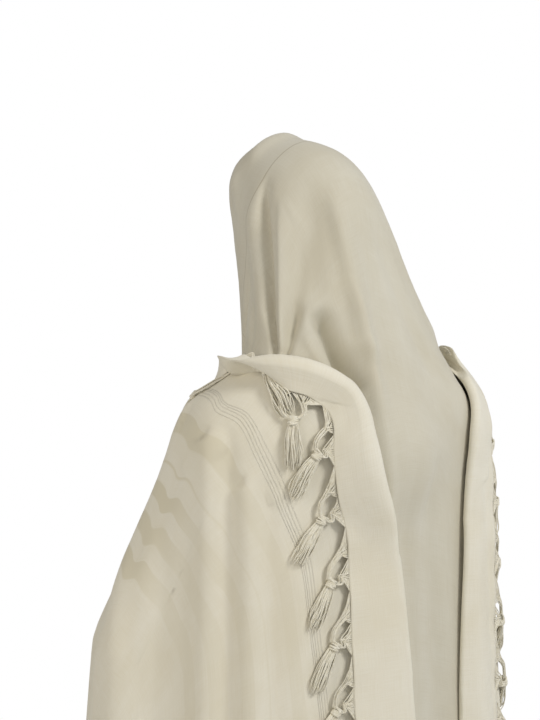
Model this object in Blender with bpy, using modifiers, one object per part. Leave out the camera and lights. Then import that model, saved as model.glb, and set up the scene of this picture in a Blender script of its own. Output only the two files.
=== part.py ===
"""Tallit, a Jewish prayer shawl, worn over the head with both ends turned up on the shoulders.

One woven rectangle, about 2 m between its fringed ends and 1.4 m wide, hangs as worn, its face opening at -Y.
Its left side is +X. The origin is under the crown, where the head holds the cloth up. Metres, +Z up.
A smooth figure of hanging cones gives the form, and each layer of cloth lies at its own distance from it.
"""

import math

import bmesh
import bpy
import numpy as np

# The cloth as it is cut, and its wall
CLOTH_WIDTH = 1.40
WALL = 0.0016
SEAM_GAP = 0.0003

# The turned-up end: how far its layers stand off each other, and the strip turned back beside its fringe
WRAP_STANDOFF = 0.011
STRIP_RISE = 0.011
FOLD_RADIUS = 0.009
FOLD_LEAD = 0.004
STRIP = (
    {"along": 0.00, "width": 0.060, "roll": 0.006},
    {"along": 0.31, "width": 0.030, "roll": 0.005},
    {"along": 0.39, "width": 0.024, "roll": 0.009},
    {"along": 0.48, "width": 0.028, "roll": 0.014},
    {"along": 0.62, "width": 0.050, "roll": 0.012},
    {"along": 0.90, "width": 0.070, "roll": 0.009},
    {"along": 1.40, "width": 0.074, "roll": 0.008},
)

# The fringe: locks of three yarns, knotted below the edge; and the corner tassels
FRINGE_LOCKS = 16
FRINGE_BACKING = 0.005
FRINGE_LENGTH = 0.115
FRINGE_DROOP = 1.2
FRINGE_LIFT = 0.009
KNOT_DEPTH = 0.050
YARN_WIDTH = 0.0026
YARN_WALL = 0.0022
TZITZIT_GAP = 0.0006
TZITZIT_LEVEL = 0.027
TZITZIT_HEAD = 0.10
TZITZIT_LENGTH = 0.30

# How finely the nets are divided
HALF_COLUMNS = 22
THROW_COLUMNS = 12
BAND_COLUMNS = 10

# The neckband, sewn on along the edge over the forehead
BAND_DEPTH = 0.10
BAND_WALL = 0.0010

# The figure that the cloth hangs on, left side. Head: centre and half sizes.
HEAD_CENTRE = (0.0, -0.006, -0.129)
HEAD_HALF = (0.072, 0.115, 0.126)
BROW = {"start": (0.0, 0.0, -0.086), "end": (0.0, -0.065, -0.066), "radius": 0.074}

# Straight taut stretches of cloth, from the head to the shoulders and back
TAUT = (
    {"start": (0.0, 0.007, -0.124), "end": (0.0, 0.116, -0.417), "radii": (0.089, 0.110)},
    {"start": (0.0, 0.026, -0.138), "end": (0.116, 0.115, -0.365), "radii": (0.079, 0.063)},
    {"start": (0.015, -0.014, -0.160), "end": (0.088, 0.030, -0.392), "radii": (0.053, 0.036)},
)
# What the cloth falls from: it hangs straight down below each, a little wider as it drops
CARRIERS = (
    {"start": (0.0, 0.075, -0.380), "end": (0.150, 0.064, -0.405), "radii": (0.070, 0.064),
     "flare": 0.02},
    {"start": (0.150, 0.064, -0.405), "end": (0.268, -0.018, -0.690), "radii": (0.068, 0.052),
     "flare": 0.06},
    {"start": (0.0, 0.095, -0.420), "end": (0.105, 0.085, -0.440), "radii": (0.100, 0.090),
     "flare": 0.07},
)
BLEND = 0.05

# The centre and side lines of the body cloth: along is the distance from the face edge, in metres of cloth
BODY_SECTIONS = (
    {"along": 0.00, "crown": (0.0, -0.098, 0.004), "temple": (0.086, -0.072, -0.100),
     "neck": (0.084, -0.040, -0.240), "shoulder": (0.125, -0.040, -0.335)},
    {"along": 0.10, "crown": (0.0, 0.005, 0.006), "temple": (0.096, 0.000, -0.100),
     "neck": (0.092, 0.000, -0.240), "shoulder": (0.155, 0.005, -0.322)},
    {"along": 0.20, "crown": (0.0, 0.095, -0.030), "temple": (0.090, 0.070, -0.120),
     "neck": (0.100, 0.072, -0.265), "shoulder": (0.175, 0.062, -0.330)},
    {"along": 0.31, "crown": (0.0, 0.140, -0.120), "temple": (0.080, 0.115, -0.190),
     "neck": (0.120, 0.110, -0.310), "shoulder": (0.205, 0.085, -0.400)},
    {"along": 0.45, "crown": (0.0, 0.160, -0.260), "temple": (0.085, 0.148, -0.310),
     "neck": (0.160, 0.135, -0.390), "shoulder": (0.250, 0.085, -0.500)},
    {"along": 0.62, "crown": (0.0, 0.185, -0.420), "temple": (0.095, 0.180, -0.455),
     "neck": (0.185, 0.155, -0.530), "shoulder": (0.290, 0.085, -0.640)},
    {"along": 0.90, "crown": (0.0, 0.210, -0.700), "temple": (0.105, 0.205, -0.730),
     "neck": (0.205, 0.170, -0.800), "shoulder": (0.310, 0.090, -0.900)},
    {"along": 1.40, "crown": (0.0, 0.245, -1.215), "temple": (0.115, 0.240, -1.220),
     "neck": (0.215, 0.190, -1.235), "shoulder": (0.310, 0.100, -1.260)},
)
# Where the cloth turns and comes back up as the outer layer
FOLD_LINE = (
    {"along": 0.00, "turn": (0.220, -0.060, -0.720)},
    {"along": 0.10, "turn": (0.248, -0.065, -0.730)},
    {"along": 0.20, "turn": (0.275, -0.070, -0.750)},
    {"along": 0.31, "turn": (0.300, -0.070, -0.785)},
    {"along": 0.45, "turn": (0.325, -0.060, -0.845)},
    {"along": 0.62, "turn": (0.340, -0.045, -0.930)},
    {"along": 0.90, "turn": (0.350, -0.020, -1.070)},
    {"along": 1.40, "turn": (0.365, 0.010, -1.280)},
)
# The outer layer: its inner fold lies by the neck, then comes the slope over the shoulder and the arm
LEFT_WRAP_SECTIONS = (
    {"along": 0.00, "lobe": (0.100, -0.040, -0.580), "slope": (0.140, -0.045, -0.600),
     "arm": (0.185, -0.050, -0.660)},
    {"along": 0.17, "lobe": (0.112, -0.045, -0.430), "slope": (0.152, -0.040, -0.450),
     "arm": (0.215, -0.050, -0.560)},
    {"along": 0.31, "lobe": (0.142, 0.012, -0.330), "slope": (0.184, 0.010, -0.345),
     "arm": (0.238, -0.020, -0.460)},
    {"along": 0.39, "lobe": (0.140, 0.094, -0.318), "slope": (0.182, 0.085, -0.345),
     "arm": (0.250, 0.030, -0.470)},
    {"along": 0.48, "lobe": (0.082, 0.164, -0.338), "slope": (0.155, 0.145, -0.392),
     "arm": (0.262, 0.055, -0.540)},
    {"along": 0.62, "lobe": (0.044, 0.203, -0.455), "slope": (0.140, 0.190, -0.500),
     "arm": (0.280, 0.080, -0.660)},
    {"along": 0.90, "lobe": (0.014, 0.225, -0.690), "slope": (0.130, 0.210, -0.760),
     "arm": (0.290, 0.095, -0.880)},
    {"along": 1.40, "lobe": (0.012, 0.250, -1.190), "slope": (0.130, 0.240, -1.230),
     "arm": (0.290, 0.120, -1.250)},
)
RIGHT_WRAP_SECTIONS = (
    {"along": 0.00, "lobe": (0.104, -0.040, -0.600), "slope": (0.142, -0.045, -0.615),
     "arm": (0.186, -0.050, -0.665)},
    {"along": 0.17, "lobe": (0.118, -0.040, -0.435), "slope": (0.156, -0.040, -0.455),
     "arm": (0.216, -0.050, -0.565)},
    {"along": 0.31, "lobe": (0.135, 0.020, -0.308), "slope": (0.185, 0.010, -0.345),
     "arm": (0.240, -0.020, -0.465)},
    {"along": 0.39, "lobe": (0.145, 0.095, -0.320), "slope": (0.190, 0.085, -0.355),
     "arm": (0.255, 0.030, -0.480)},
    {"along": 0.48, "lobe": (0.150, 0.145, -0.375), "slope": (0.195, 0.125, -0.415),
     "arm": (0.268, 0.055, -0.545)},
    {"along": 0.62, "lobe": (0.148, 0.180, -0.490), "slope": (0.205, 0.160, -0.535),
     "arm": (0.285, 0.080, -0.660)},
    {"along": 0.90, "lobe": (0.128, 0.210, -0.720), "slope": (0.205, 0.185, -0.780),
     "arm": (0.295, 0.095, -0.890)},
    {"along": 1.40, "lobe": (0.110, 0.240, -1.200), "slope": (0.200, 0.210, -1.225),
     "arm": (0.290, 0.120, -1.255)},
)


# The largest folds: where each runs, how wide it is, how far it stands out (or in), and its faded ends
BODY_FOLDS = (
    {"start": (0.099, 0.016, -0.052), "via": (0.122, 0.050, -0.165), "end": (0.139, 0.108, -0.262),
     "width": 0.016, "rise": 0.006, "fade": (0.3, 0.4)},
    {"start": (0.086, 0.027, -0.035), "via": (0.115, 0.060, -0.140), "end": (0.136, 0.115, -0.268),
     "width": 0.010, "rise": -0.007, "fade": (0.3, 0.2)},
    {"start": (0.083, 0.069, -0.055), "via": (0.102, 0.097, -0.160), "end": (0.126, 0.121, -0.258),
     "width": 0.014, "rise": 0.006, "fade": (0.3, 0.4)},
    {"start": (0.105, 0.115, -0.195), "via": (0.112, 0.124, -0.240), "end": (0.118, 0.132, -0.275),
     "width": 0.013, "rise": -0.006, "fade": (0.3, 0.3)},
    {"start": (0.089, 0.134, -0.218), "via": (0.064, 0.158, -0.270), "end": (0.055, 0.178, -0.335),
     "width": 0.013, "rise": -0.007, "fade": (0.3, 0.3)},
    {"start": (0.061, 0.097, -0.059), "via": (0.077, 0.119, -0.153), "end": (0.088, 0.132, -0.225),
     "width": 0.018, "rise": -0.005, "fade": (0.3, 0.2)},
    {"start": (0.042, 0.108, -0.058), "via": (0.026, 0.151, -0.203), "end": (0.017, 0.190, -0.345),
     "width": 0.018, "rise": 0.005, "fade": (0.3, 0.2)},
    {"start": (0.017, 0.186, -0.325), "via": (-0.022, 0.211, -0.560), "end": (-0.040, 0.245, -1.230),
     "width": 0.020, "rise": 0.007, "fade": (0.2, 0.0)},
    {"start": (-0.066, 0.190, -0.420), "via": (-0.068, 0.200, -0.600), "end": (-0.080, 0.245, -1.230),
     "width": 0.018, "rise": -0.006, "fade": (0.3, 0.0)},
    {"start": (-0.020, 0.110, -0.050), "via": (-0.055, 0.147, -0.210), "end": (-0.100, 0.165, -0.330),
     "width": 0.018, "rise": -0.006, "fade": (0.3, 0.2)},
    {"start": (-0.060, 0.085, -0.055), "via": (-0.098, 0.105, -0.190), "end": (-0.128, 0.128, -0.290),
     "width": 0.016, "rise": 0.006, "fade": (0.3, 0.2)},
    {"start": (-0.086, 0.045, -0.045), "via": (-0.112, 0.075, -0.160), "end": (-0.138, 0.115, -0.275),
     "width": 0.013, "rise": -0.007, "fade": (0.3, 0.2)},
    {"start": (-0.098, 0.010, -0.060), "via": (-0.116, 0.040, -0.160), "end": (-0.142, 0.095, -0.270),
     "width": 0.014, "rise": 0.005, "fade": (0.3, 0.2)},
)
WRAP_FOLDS = (
    {"start": (0.232, 0.044, -0.358), "via": (0.252, -0.005, -0.480), "end": (0.330, 0.000, -1.270),
     "width": 0.018, "rise": 0.007, "fade": (0.15, 0.0)},
    {"start": (0.248, 0.060, -0.420), "via": (0.270, 0.045, -0.600), "end": (0.315, 0.055, -1.270),
     "width": 0.018, "rise": -0.004, "fade": (0.2, 0.0)},
    {"start": (0.230, 0.100, -0.380), "via": (0.236, 0.108, -0.550), "end": (0.275, 0.130, -1.260),
     "width": 0.020, "rise": 0.010, "fade": (0.15, 0.0)},
    {"start": (0.223, 0.121, -0.401), "via": (0.220, 0.132, -0.540), "end": (0.245, 0.160, -1.260),
     "width": 0.014, "rise": -0.004, "fade": (0.2, 0.0)},
    {"start": (0.206, 0.142, -0.440), "via": (0.202, 0.156, -0.590), "end": (0.215, 0.185, -1.250),
     "width": 0.018, "rise": 0.008, "fade": (0.2, 0.0)},
    {"start": (0.181, 0.166, -0.462), "via": (0.186, 0.170, -0.590), "end": (0.180, 0.210, -1.240),
     "width": 0.014, "rise": -0.004, "fade": (0.2, 0.0)},
    {"start": (0.200, -0.035, -0.380), "via": (0.240, -0.060, -0.520), "end": (0.300, -0.060, -0.690),
     "width": 0.018, "rise": 0.006, "fade": (0.2, 0.1)},
)


def lengths(vectors):
    """The length of each row of an array of vectors."""
    return np.sqrt((vectors ** 2).sum(axis=-1))


def smooth_union(first, second, blend=BLEND):
    """The lower of two distances, rounded where they are close."""
    mix = np.maximum(blend - np.abs(first - second), 0) / blend
    return np.minimum(first, second) - mix * mix * blend / 4


def cone_distance(points, start, end, radii):
    """How far points lie outside a cone with round ends."""
    start, end = np.array(start), np.array(end)
    axis = end - start
    share = np.clip((points - start) @ axis / (axis @ axis), 0, 1)
    radius = radii[0] + (radii[1] - radii[0]) * share
    return lengths(points - start - share[:, None] * axis) - radius


def curtain_distance(points, start, end, radii, flare):
    """How far points lie outside cloth that hangs straight down from a round-ended cone."""
    start, end = np.array(start), np.array(end)
    axis = end - start
    above = cone_distance(points, start, end, radii)
    flat = points[:, :2] - start[:2]
    share = np.clip(flat @ axis[:2] / (axis[:2] @ axis[:2]), 0, 1)
    highest = np.clip((start[2] - points[:, 2]) / max(start[2] - end[2], 1e-6), 0, 1)
    share = np.minimum(share, highest)
    drop = start[2] + share * axis[2] - points[:, 2]
    radius = radii[0] + (radii[1] - radii[0]) * share + flare * np.maximum(drop, 0)
    beside = lengths(flat - share[:, None] * axis[:2]) - radius
    return np.where(drop > 0, np.minimum(above, beside), above)


def figure_distance(points):
    """How far points lie outside the form that the inner layer of cloth takes."""
    folded = np.column_stack([np.abs(points[:, 0]), points[:, 1], points[:, 2]])
    scaled = (folded - np.array(HEAD_CENTRE)) / np.array(HEAD_HALF)
    found = (lengths(scaled) - 1) * min(HEAD_HALF)
    radius = BROW["radius"]
    found = smooth_union(found, cone_distance(folded, BROW["start"], BROW["end"], (radius, radius)))
    for row in TAUT:
        found = smooth_union(found, cone_distance(folded, **row))
    for row in CARRIERS:
        found = smooth_union(found, curtain_distance(folded, **row))
    return found


def bow(row, steps=10):
    """Points along a smooth bow from a row's start, past its via, to its end."""
    share = np.linspace(0, 1, steps + 1)[:, None]
    start, via, end = (np.array(row[key]) for key in ("start", "via", "end"))
    middle = 2 * via - (start + end) / 2
    return (1 - share) ** 2 * start + 2 * share * (1 - share) * middle + share ** 2 * end


def fold_lift(points, folds):
    """How far the folds carry each point out from the plain form, or in."""
    lift = np.zeros(len(points))
    for row in folds:
        line = settle(bow(row), 0.0)
        nearest = np.full(len(points), np.inf)
        reach = np.zeros(len(points))
        for number, (first, second) in enumerate(zip(line[:-1], line[1:])):
            axis = second - first
            share = np.clip((points - first) @ axis / (axis @ axis), 0, 1)
            away = lengths(points - first - share[:, None] * axis)
            closer = away < nearest
            nearest = np.where(closer, away, nearest)
            reach = np.where(closer, (number + share) / (len(line) - 1), reach)
        fade_in, fade_out = row["fade"]
        strength = np.clip(reach / max(fade_in, 1e-6), 0, 1) if fade_in else 1.0
        strength = strength * (np.clip((1 - reach) / fade_out, 0, 1) if fade_out else 1.0)
        strength = strength * strength * (3 - 2 * strength)
        lift += row["rise"] * strength * np.exp(-(nearest / row["width"]) ** 2)
    return lift


def figure_slope(points, step=0.0005):
    """Which way, and how fast, the distance outside the figure grows."""
    here = figure_distance(points)
    slope = np.empty_like(points)
    for axis in range(3):
        moved = points.copy()
        moved[:, axis] += step
        slope[:, axis] = (figure_distance(moved) - here) / step
    return here, slope


def settle(points, level, rounds=8):
    """The points moved straight onto the surface that lies a given level outside the figure."""
    points = points.copy()
    for _ in range(rounds):
        here, slope = figure_slope(points)
        steep = np.maximum((slope ** 2).sum(axis=1), 0.25)
        points -= ((here - level) / steep)[:, None] * slope
    return points


def lay(points, level, folds):
    """The points laid on the figure at a level, and then carried by the folds."""
    flat = settle(points, 0.0)
    return settle(points, level + fold_lift(flat, folds))


def spline(knots, values, at):
    """A smooth curve through the values at the knots, read at the places given."""
    knots = np.asarray(knots, float)
    values = np.asarray(values, float).reshape(len(knots), -1)
    steps = np.diff(knots)[:, None]
    rises = np.diff(values, axis=0) / steps
    inner = (rises[:-1] * steps[1:] + rises[1:] * steps[:-1]) / (steps[1:] + steps[:-1])
    tangents = np.vstack([2 * rises[0] - inner[0], inner, 2 * rises[-1] - inner[-1]])
    cell = np.clip(np.searchsorted(knots, at, side="right") - 1, 0, len(knots) - 2)
    span = (knots[cell + 1] - knots[cell])[:, None]
    part = (np.asarray(at, float) - knots[cell])[:, None] / span
    return (
        (2 * part ** 3 - 3 * part ** 2 + 1) * values[cell]
        + (part ** 3 - 2 * part ** 2 + part) * span * tangents[cell]
        + (3 * part ** 2 - 2 * part ** 3) * values[cell + 1]
        + (part ** 3 - part ** 2) * span * tangents[cell + 1]
    )


def section_net(sections, anchors, rows, columns):
    """A grid of points: a smooth curve through each section's anchors, read at the shares given."""
    knots = [section["along"] for section in sections]
    lines = [
        spline(knots, [section[name] for section in sections], rows) for name in anchors
    ]
    places = np.linspace(0, 1, len(anchors))
    return np.array([
        spline(places, [line[row] for line in lines], columns) for row in range(len(rows))
    ])


def laid_net(sections, anchors, rows, columns):
    """The same grid laid on the plain figure."""
    net = section_net(sections, anchors, rows, columns)
    return settle(net.reshape(-1, 3), 0.0).reshape(net.shape)


def raised(net, level, folds):
    """A net carried out to its level, with its folds."""
    levels = np.broadcast_to(level, net.shape[:2]).reshape(-1)
    return lay(net.reshape(-1, 3), levels, folds).reshape(net.shape)


def mirrored(net):
    """A net on the right side, with its columns the other way round so that it faces out."""
    return (net * np.array((-1.0, 1.0, 1.0)))[:, ::-1]


def make_material(name, colour, roughness):
    """A plain Principled material."""
    material = bpy.data.materials.new(name)
    material.use_nodes = True
    shader = material.node_tree.nodes["Principled BSDF"]
    shader.inputs["Base Color"].default_value = (*colour, 1.0)
    shader.inputs["Roughness"].default_value = roughness
    return material


def finish_object(name, form, material, wall):
    """An object of the tallit, with its wall grown from the open surface."""
    mesh = bpy.data.meshes.new(name)
    form.to_mesh(mesh)
    form.free()
    mesh.materials.append(material)
    item = bpy.data.objects.new(name, mesh)
    TALLIT.objects.link(item)
    grown = item.modifiers.new("Wall", "SOLIDIFY")
    grown.thickness = wall
    grown.offset = 0.0
    return item


def cloth_piece(name, net, material, wall=WALL):
    """A stretch of cloth from a net of points, rows down the cloth and columns across it."""
    rows, columns = net.shape[:2]
    form = bmesh.new()
    bmesh.ops.create_grid(form, x_segments=columns - 1, y_segments=rows - 1, size=0.5)
    form.verts.ensure_lookup_table()
    for index, vert in enumerate(form.verts):
        vert.co = net[index // columns, index % columns]
    return finish_object(name, form, material, wall)


def cloth_rows(stops):
    """Places down the cloth: an even share between each pair of stops."""
    places = [0.0]
    for end, steps in stops:
        start = places[-1]
        places += [start + (end - start) * (k + 1) / steps for k in range(steps)]
    return np.array(places)


def unit(vectors):
    """Each row of an array of vectors at length one."""
    return vectors / np.maximum(lengths(vectors), 1e-9)[..., None]


def net_normals(net):
    """The direction out of the cloth at each point of a net."""
    down = np.gradient(net, axis=0)
    across = np.gradient(net, axis=1)
    return unit(np.cross(down, across))


def beyond(edge, inside):
    """The direction away from the cloth at each point of its edge, square to the edge."""
    slope = unit(figure_slope(edge)[1])
    along = unit(np.gradient(edge, axis=0))
    away = unit(np.cross(along, slope))
    away *= np.sign(((edge - inside) * away).sum(axis=1))[:, None]
    for _ in range(2):
        away[1:-1] = unit(away[:-2] + 2 * away[1:-1] + away[2:])
    return away


def bend(edge, outward, level, radius, steps, folds):
    """Columns that carry the cloth on past an edge, and round to a layer above it in a half circle."""
    radius = np.broadcast_to(np.reshape(radius, (-1, 1)), (len(edge), 1))
    columns = [lay(edge + outward * SEAM_GAP, level, folds)]
    for turn in np.linspace(0, math.pi, steps + 1):
        reach = SEAM_GAP + FOLD_LEAD + radius * math.sin(turn)
        lift = level + radius[:, 0] * (1 - math.cos(turn))
        columns.append(lay(edge + outward * reach, lift, folds))
    return columns


def wrap_nets(table, rows, half, folds):
    """The turned-up end as two nets: the throw over the arm, and the strip turned back with the fringe."""
    knots = [row["along"] for row in FOLD_LINE]
    turns = spline(knots, [row["turn"] for row in FOLD_LINE], [row["along"] for row in table])
    sections = [dict(row, turn=tuple(turn)) for row, turn in zip(table, turns)]
    fold, beside = half[:, -1], half[:, -2]
    round_fold = bend(fold, beyond(fold, beside), 0.0, FOLD_RADIUS, 4, ())
    shares = np.linspace(0, 1, THROW_COLUMNS)
    level = WRAP_STANDOFF + (2 * FOLD_RADIUS - WRAP_STANDOFF) * shares ** 2
    plain = laid_net(sections, ("lobe", "slope", "arm", "turn"), rows, shares)
    laid = raised(plain, level, folds)
    throw = np.stack([laid[:, column] for column in range(THROW_COLUMNS - 1)] + round_fold[::-1], axis=1)
    lobe = laid[:, 0]
    outward = beyond(lobe, laid[:, 1])
    stations = [row["along"] for row in STRIP]
    width = spline(stations, [row["width"] for row in STRIP], rows)
    roll = spline(stations, [row["roll"] for row in STRIP], rows)
    columns = bend(lobe, outward, WRAP_STANDOFF, roll, 4, folds)
    for share in (0.34, 0.67, 1.0):
        lift = WRAP_STANDOFF + (2 * roll[:, 0] * (1 - share) + STRIP_RISE * share)
        columns.append(lay(lobe - outward * width * share, lift, folds))
    return throw, np.stack(columns, axis=1)[:, ::-1]


def fringe(name, strip, folds, flipped):
    """Knotted locks of warp yarn that hang from a narrow strip along the edge of the cloth."""
    edge = strip[:, 0]
    away = beyond(edge, strip[:, 1])
    steps = np.concatenate([[0], np.cumsum(lengths(np.diff(edge, axis=0)))])
    spacing = steps[-1] / FRINGE_LOCKS
    strip_level = STRIP_RISE + WRAP_STANDOFF
    yarn_level = WRAP_STANDOFF + FRINGE_LIFT

    def read(values, along):
        return np.array([np.interp(along, steps, values[:, axis]) for axis in range(3)])

    def drop(start, way, reach):
        """A point further down the cloth from a start, laid above the throw."""
        point = start + way * reach
        return lay(point[None], np.array([yarn_level]), folds)[0]

    form = bmesh.new()

    def pair(centre, side):
        """The two corners of a yarn, either side of its middle."""
        half = side * YARN_WIDTH / 2
        return [form.verts.new(centre - half), form.verts.new(centre + half)]

    def link(above, below):
        form.faces.new((above[0], below[0], below[1], above[1]))

    stops = [0.004]
    for lock in range(FRINGE_LOCKS):
        for root in (-1, 0, 1):
            middle = (lock + 0.5 + root / 3) * spacing
            stops += [middle - YARN_WIDTH / 2, middle + YARN_WIDTH / 2]
    stops.append(steps[-1] - 0.004)
    rim_line = edge + away * SEAM_GAP * 3
    low_line = lay(edge + away * FRINGE_BACKING, np.full(len(edge), strip_level), folds)
    rim = np.array([read(rim_line, stop) for stop in stops])
    low = np.array([read(low_line, stop) for stop in stops])
    rim_verts = [form.verts.new(point) for point in rim]
    low_verts = [form.verts.new(point) for point in low]
    for k in range(len(stops) - 1):
        form.faces.new((rim_verts[k], low_verts[k], low_verts[k + 1], rim_verts[k + 1]))

    for lock in range(FRINGE_LOCKS):
        middle = (lock + 0.5) * spacing
        root = read(edge, middle)
        way = unit(unit(read(away, middle)) + np.array((0, 0, -FRINGE_DROOP)))
        knot = drop(root, way, KNOT_DEPTH)
        slope = unit(figure_slope(knot[None])[1][0])
        way = unit(read(away, middle) * 0.4 + np.array((0, 0, -1.0)))
        way = unit(way - slope * (way @ slope))
        side = unit(np.cross(way, slope))
        if side @ (read(edge, middle + 0.01) - read(edge, middle - 0.01)) < 0:
            side = -side
        under = drop(knot, way, 0.008)
        spread = np.arange(-1.5, 2)
        top_corners = [form.verts.new(knot + side * YARN_WIDTH * k) for k in spread]
        low_corners = [form.verts.new(under + side * YARN_WIDTH * k) for k in spread]
        for strand in range(3):
            first = low_verts[1 + 6 * lock + 2 * strand:3 + 6 * lock + 2 * strand]
            start = (first[0].co + first[1].co) / 2
            half_way = lay(((np.array(start) + knot) / 2)[None], np.array([yarn_level + 0.001]), folds)[0]
            along_edge = unit(np.array(first[1].co - first[0].co))
            between = pair(half_way, unit(along_edge + side))
            link(first, between)
            link(between, top_corners[strand:strand + 2])
            link(top_corners[strand:strand + 2], low_corners[strand:strand + 2])
            above = low_corners[strand:strand + 2]
            for share in (0.5, 1.0):
                offset = side * (strand - 1) * (YARN_WIDTH + 0.004 * share)
                tail = pair(drop(under + offset, way, (FRINGE_LENGTH - KNOT_DEPTH) * share), side)
                link(above, tail)
                above = tail
    if flipped:
        for vert in form.verts:
            vert.co.x = -vert.co.x
        bmesh.ops.reverse_faces(form, faces=form.faces)
    finish_object(name, form, yarn, YARN_WALL)


def tzitzit(name, hem, inside, flipped):
    """A corner tassel: a wound head at the hem, and eight strands below it, laid down the cloth."""
    form = bmesh.new()
    middle = hem.mean(axis=0)
    along = unit(hem[1] - hem[0])
    out = middle - inside.mean(axis=0)
    out = unit(out - along * (out @ along))
    top = middle + out * TZITZIT_GAP
    depths = np.array((TZITZIT_HEAD * 0.5, TZITZIT_HEAD, TZITZIT_HEAD + 0.06, TZITZIT_LENGTH))
    line = top + out * 0.002 - np.array((0, 0, 1.0)) * depths[:, None]
    line = np.vstack([top, settle(line, TZITZIT_LEVEL)])
    across = unit(np.cross(figure_slope(line[:1])[1][0], (0, 0, 1.0)))
    if across @ along < 0:
        along = -along
    if flipped:
        line, across, along = line * (-1, 1, 1), across * (-1, 1, 1), along * (-1, 1, 1)
    lines = [[form.verts.new(line[0] + along * (k - 4) * 0.0013) for k in range(9)]]
    lines += [[form.verts.new(line[row] + across * (k - 4) * 0.0013) for k in range(9)] for row in (1, 2)]
    for k in range(8):
        for row in range(2):
            corners = (lines[row][k], lines[row + 1][k], lines[row + 1][k + 1], lines[row][k + 1])
            form.faces.new(corners)
        above = lines[2][k:k + 2]
        for row, spread in ((3, 0.0030), (4, 0.0045)):
            middle = line[row] + across * (k - 3.5) * spread
            below = [form.verts.new(middle - across * 0.0009), form.verts.new(middle + across * 0.0009)]
            form.faces.new((above[0], below[0], below[1], above[1]))
            above = below
    finish_object(name, form, yarn, YARN_WALL)


for old in list(bpy.data.objects):
    bpy.data.objects.remove(old)

TALLIT = bpy.data.collections.new("Tallit")
bpy.context.scene.collection.children.link(TALLIT)

wool = make_material("Wool", (0.60, 0.57, 0.49), 0.9)
satin = make_material("Satin", (0.64, 0.60, 0.49), 0.6)
yarn = make_material("Yarn", (0.66, 0.63, 0.55), 0.9)

rows = cloth_rows(((BAND_DEPTH, 3), (0.24, 3), (0.50, 9), (0.80, 6), (CLOTH_WIDTH, 6)))

half_sections = [dict(row, turn=turn["turn"]) for row, turn in zip(BODY_SECTIONS, FOLD_LINE)]
half_anchors = ("crown", "temple", "neck", "shoulder", "turn")
half = laid_net(half_sections, half_anchors, rows, np.linspace(0, 1, HALF_COLUMNS))
body = raised(np.concatenate([mirrored(half)[:, :-1], half], axis=1), 0.0, BODY_FOLDS)
cloth_piece("body_cloth", body, wool)

sewn = slice(HALF_COLUMNS - 1 - BAND_COLUMNS, HALF_COLUMNS + BAND_COLUMNS)
band = body[:4, sewn] + net_normals(body)[:4, sewn] * (WALL / 2 + SEAM_GAP + BAND_WALL / 2)
cloth_piece("neckband", band, satin, BAND_WALL)

for side, table in (("left", LEFT_WRAP_SECTIONS), ("right", RIGHT_WRAP_SECTIONS)):
    throw, strip = wrap_nets(table, rows, half, WRAP_FOLDS)
    tzitzit(side + "_front_tzitzit", strip[0, :2], strip[1, :2], side == "right")
    tzitzit(side + "_back_tzitzit", strip[-1, :2], strip[-2, :2], side == "right")
    flipped = side == "right"
    fringe(side + "_fringe", strip, WRAP_FOLDS, flipped)
    if flipped:
        throw, strip = mirrored(throw), mirrored(strip)
    cloth_piece(side + "_throw", throw, wool)
    cloth_piece(side + "_turned_edge", strip, wool)
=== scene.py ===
"""Looks of a wool tallit, worn over the head with both fringed ends turned up on the shoulders.

The cloth lies on a smooth figure of hanging cones, each layer at its own distance from it, and the folds
are carried out from that form. The frame is the CAD part's: metres, +Z up, the face is towards -Y.
"""

import logging
import math
from collections.abc import Sequence
from dataclasses import dataclass, field
from enum import Enum

import bmesh
import bpy
import numpy as np
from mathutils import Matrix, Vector, noise


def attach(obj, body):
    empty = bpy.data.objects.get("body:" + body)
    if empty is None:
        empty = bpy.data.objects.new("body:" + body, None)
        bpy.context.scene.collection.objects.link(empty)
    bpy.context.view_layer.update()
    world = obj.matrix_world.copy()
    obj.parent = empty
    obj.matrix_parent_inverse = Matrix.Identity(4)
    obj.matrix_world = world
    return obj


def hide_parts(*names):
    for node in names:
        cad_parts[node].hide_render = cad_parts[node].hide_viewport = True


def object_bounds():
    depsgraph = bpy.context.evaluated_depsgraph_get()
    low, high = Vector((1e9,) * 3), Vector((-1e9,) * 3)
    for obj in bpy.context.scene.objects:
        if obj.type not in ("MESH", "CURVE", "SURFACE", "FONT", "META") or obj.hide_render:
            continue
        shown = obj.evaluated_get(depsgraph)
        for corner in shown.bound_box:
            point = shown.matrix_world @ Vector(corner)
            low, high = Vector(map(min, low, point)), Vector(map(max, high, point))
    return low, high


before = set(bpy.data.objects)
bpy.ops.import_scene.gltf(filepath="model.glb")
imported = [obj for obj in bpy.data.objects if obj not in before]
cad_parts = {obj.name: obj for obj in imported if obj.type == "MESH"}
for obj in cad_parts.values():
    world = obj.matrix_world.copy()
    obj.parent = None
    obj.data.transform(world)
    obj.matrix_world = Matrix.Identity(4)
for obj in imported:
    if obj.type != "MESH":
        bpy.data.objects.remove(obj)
CAD_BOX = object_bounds()

LOG = logging.getLogger("tallit")

Point = tuple[float, float, float]

SHELL = 0.0010
SEAM_GAP = 0.0003
MIRROR = np.array((-1.0, 1.0, 1.0))
DOWN = np.array((0.0, 0.0, -1.0))
SEED = 1840
# In the flat cloth, from the inner fold of the end: the middle of the cords, and of the third satin bar
CORD_MIDDLE = 0.125
BAR_MIDDLE = 0.286


class Profile(Enum):
    """The cross-section of a fold."""

    SOFT = "soft"
    CREASE = "crease"


class Side(Enum):
    """The side of the body that a piece hangs on."""

    LEFT = "left"
    RIGHT = "right"


@dataclass(frozen=True)
class Cone:
    """A taut stretch between two round ends."""

    start: Point
    end: Point
    radii: tuple[float, float]


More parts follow.
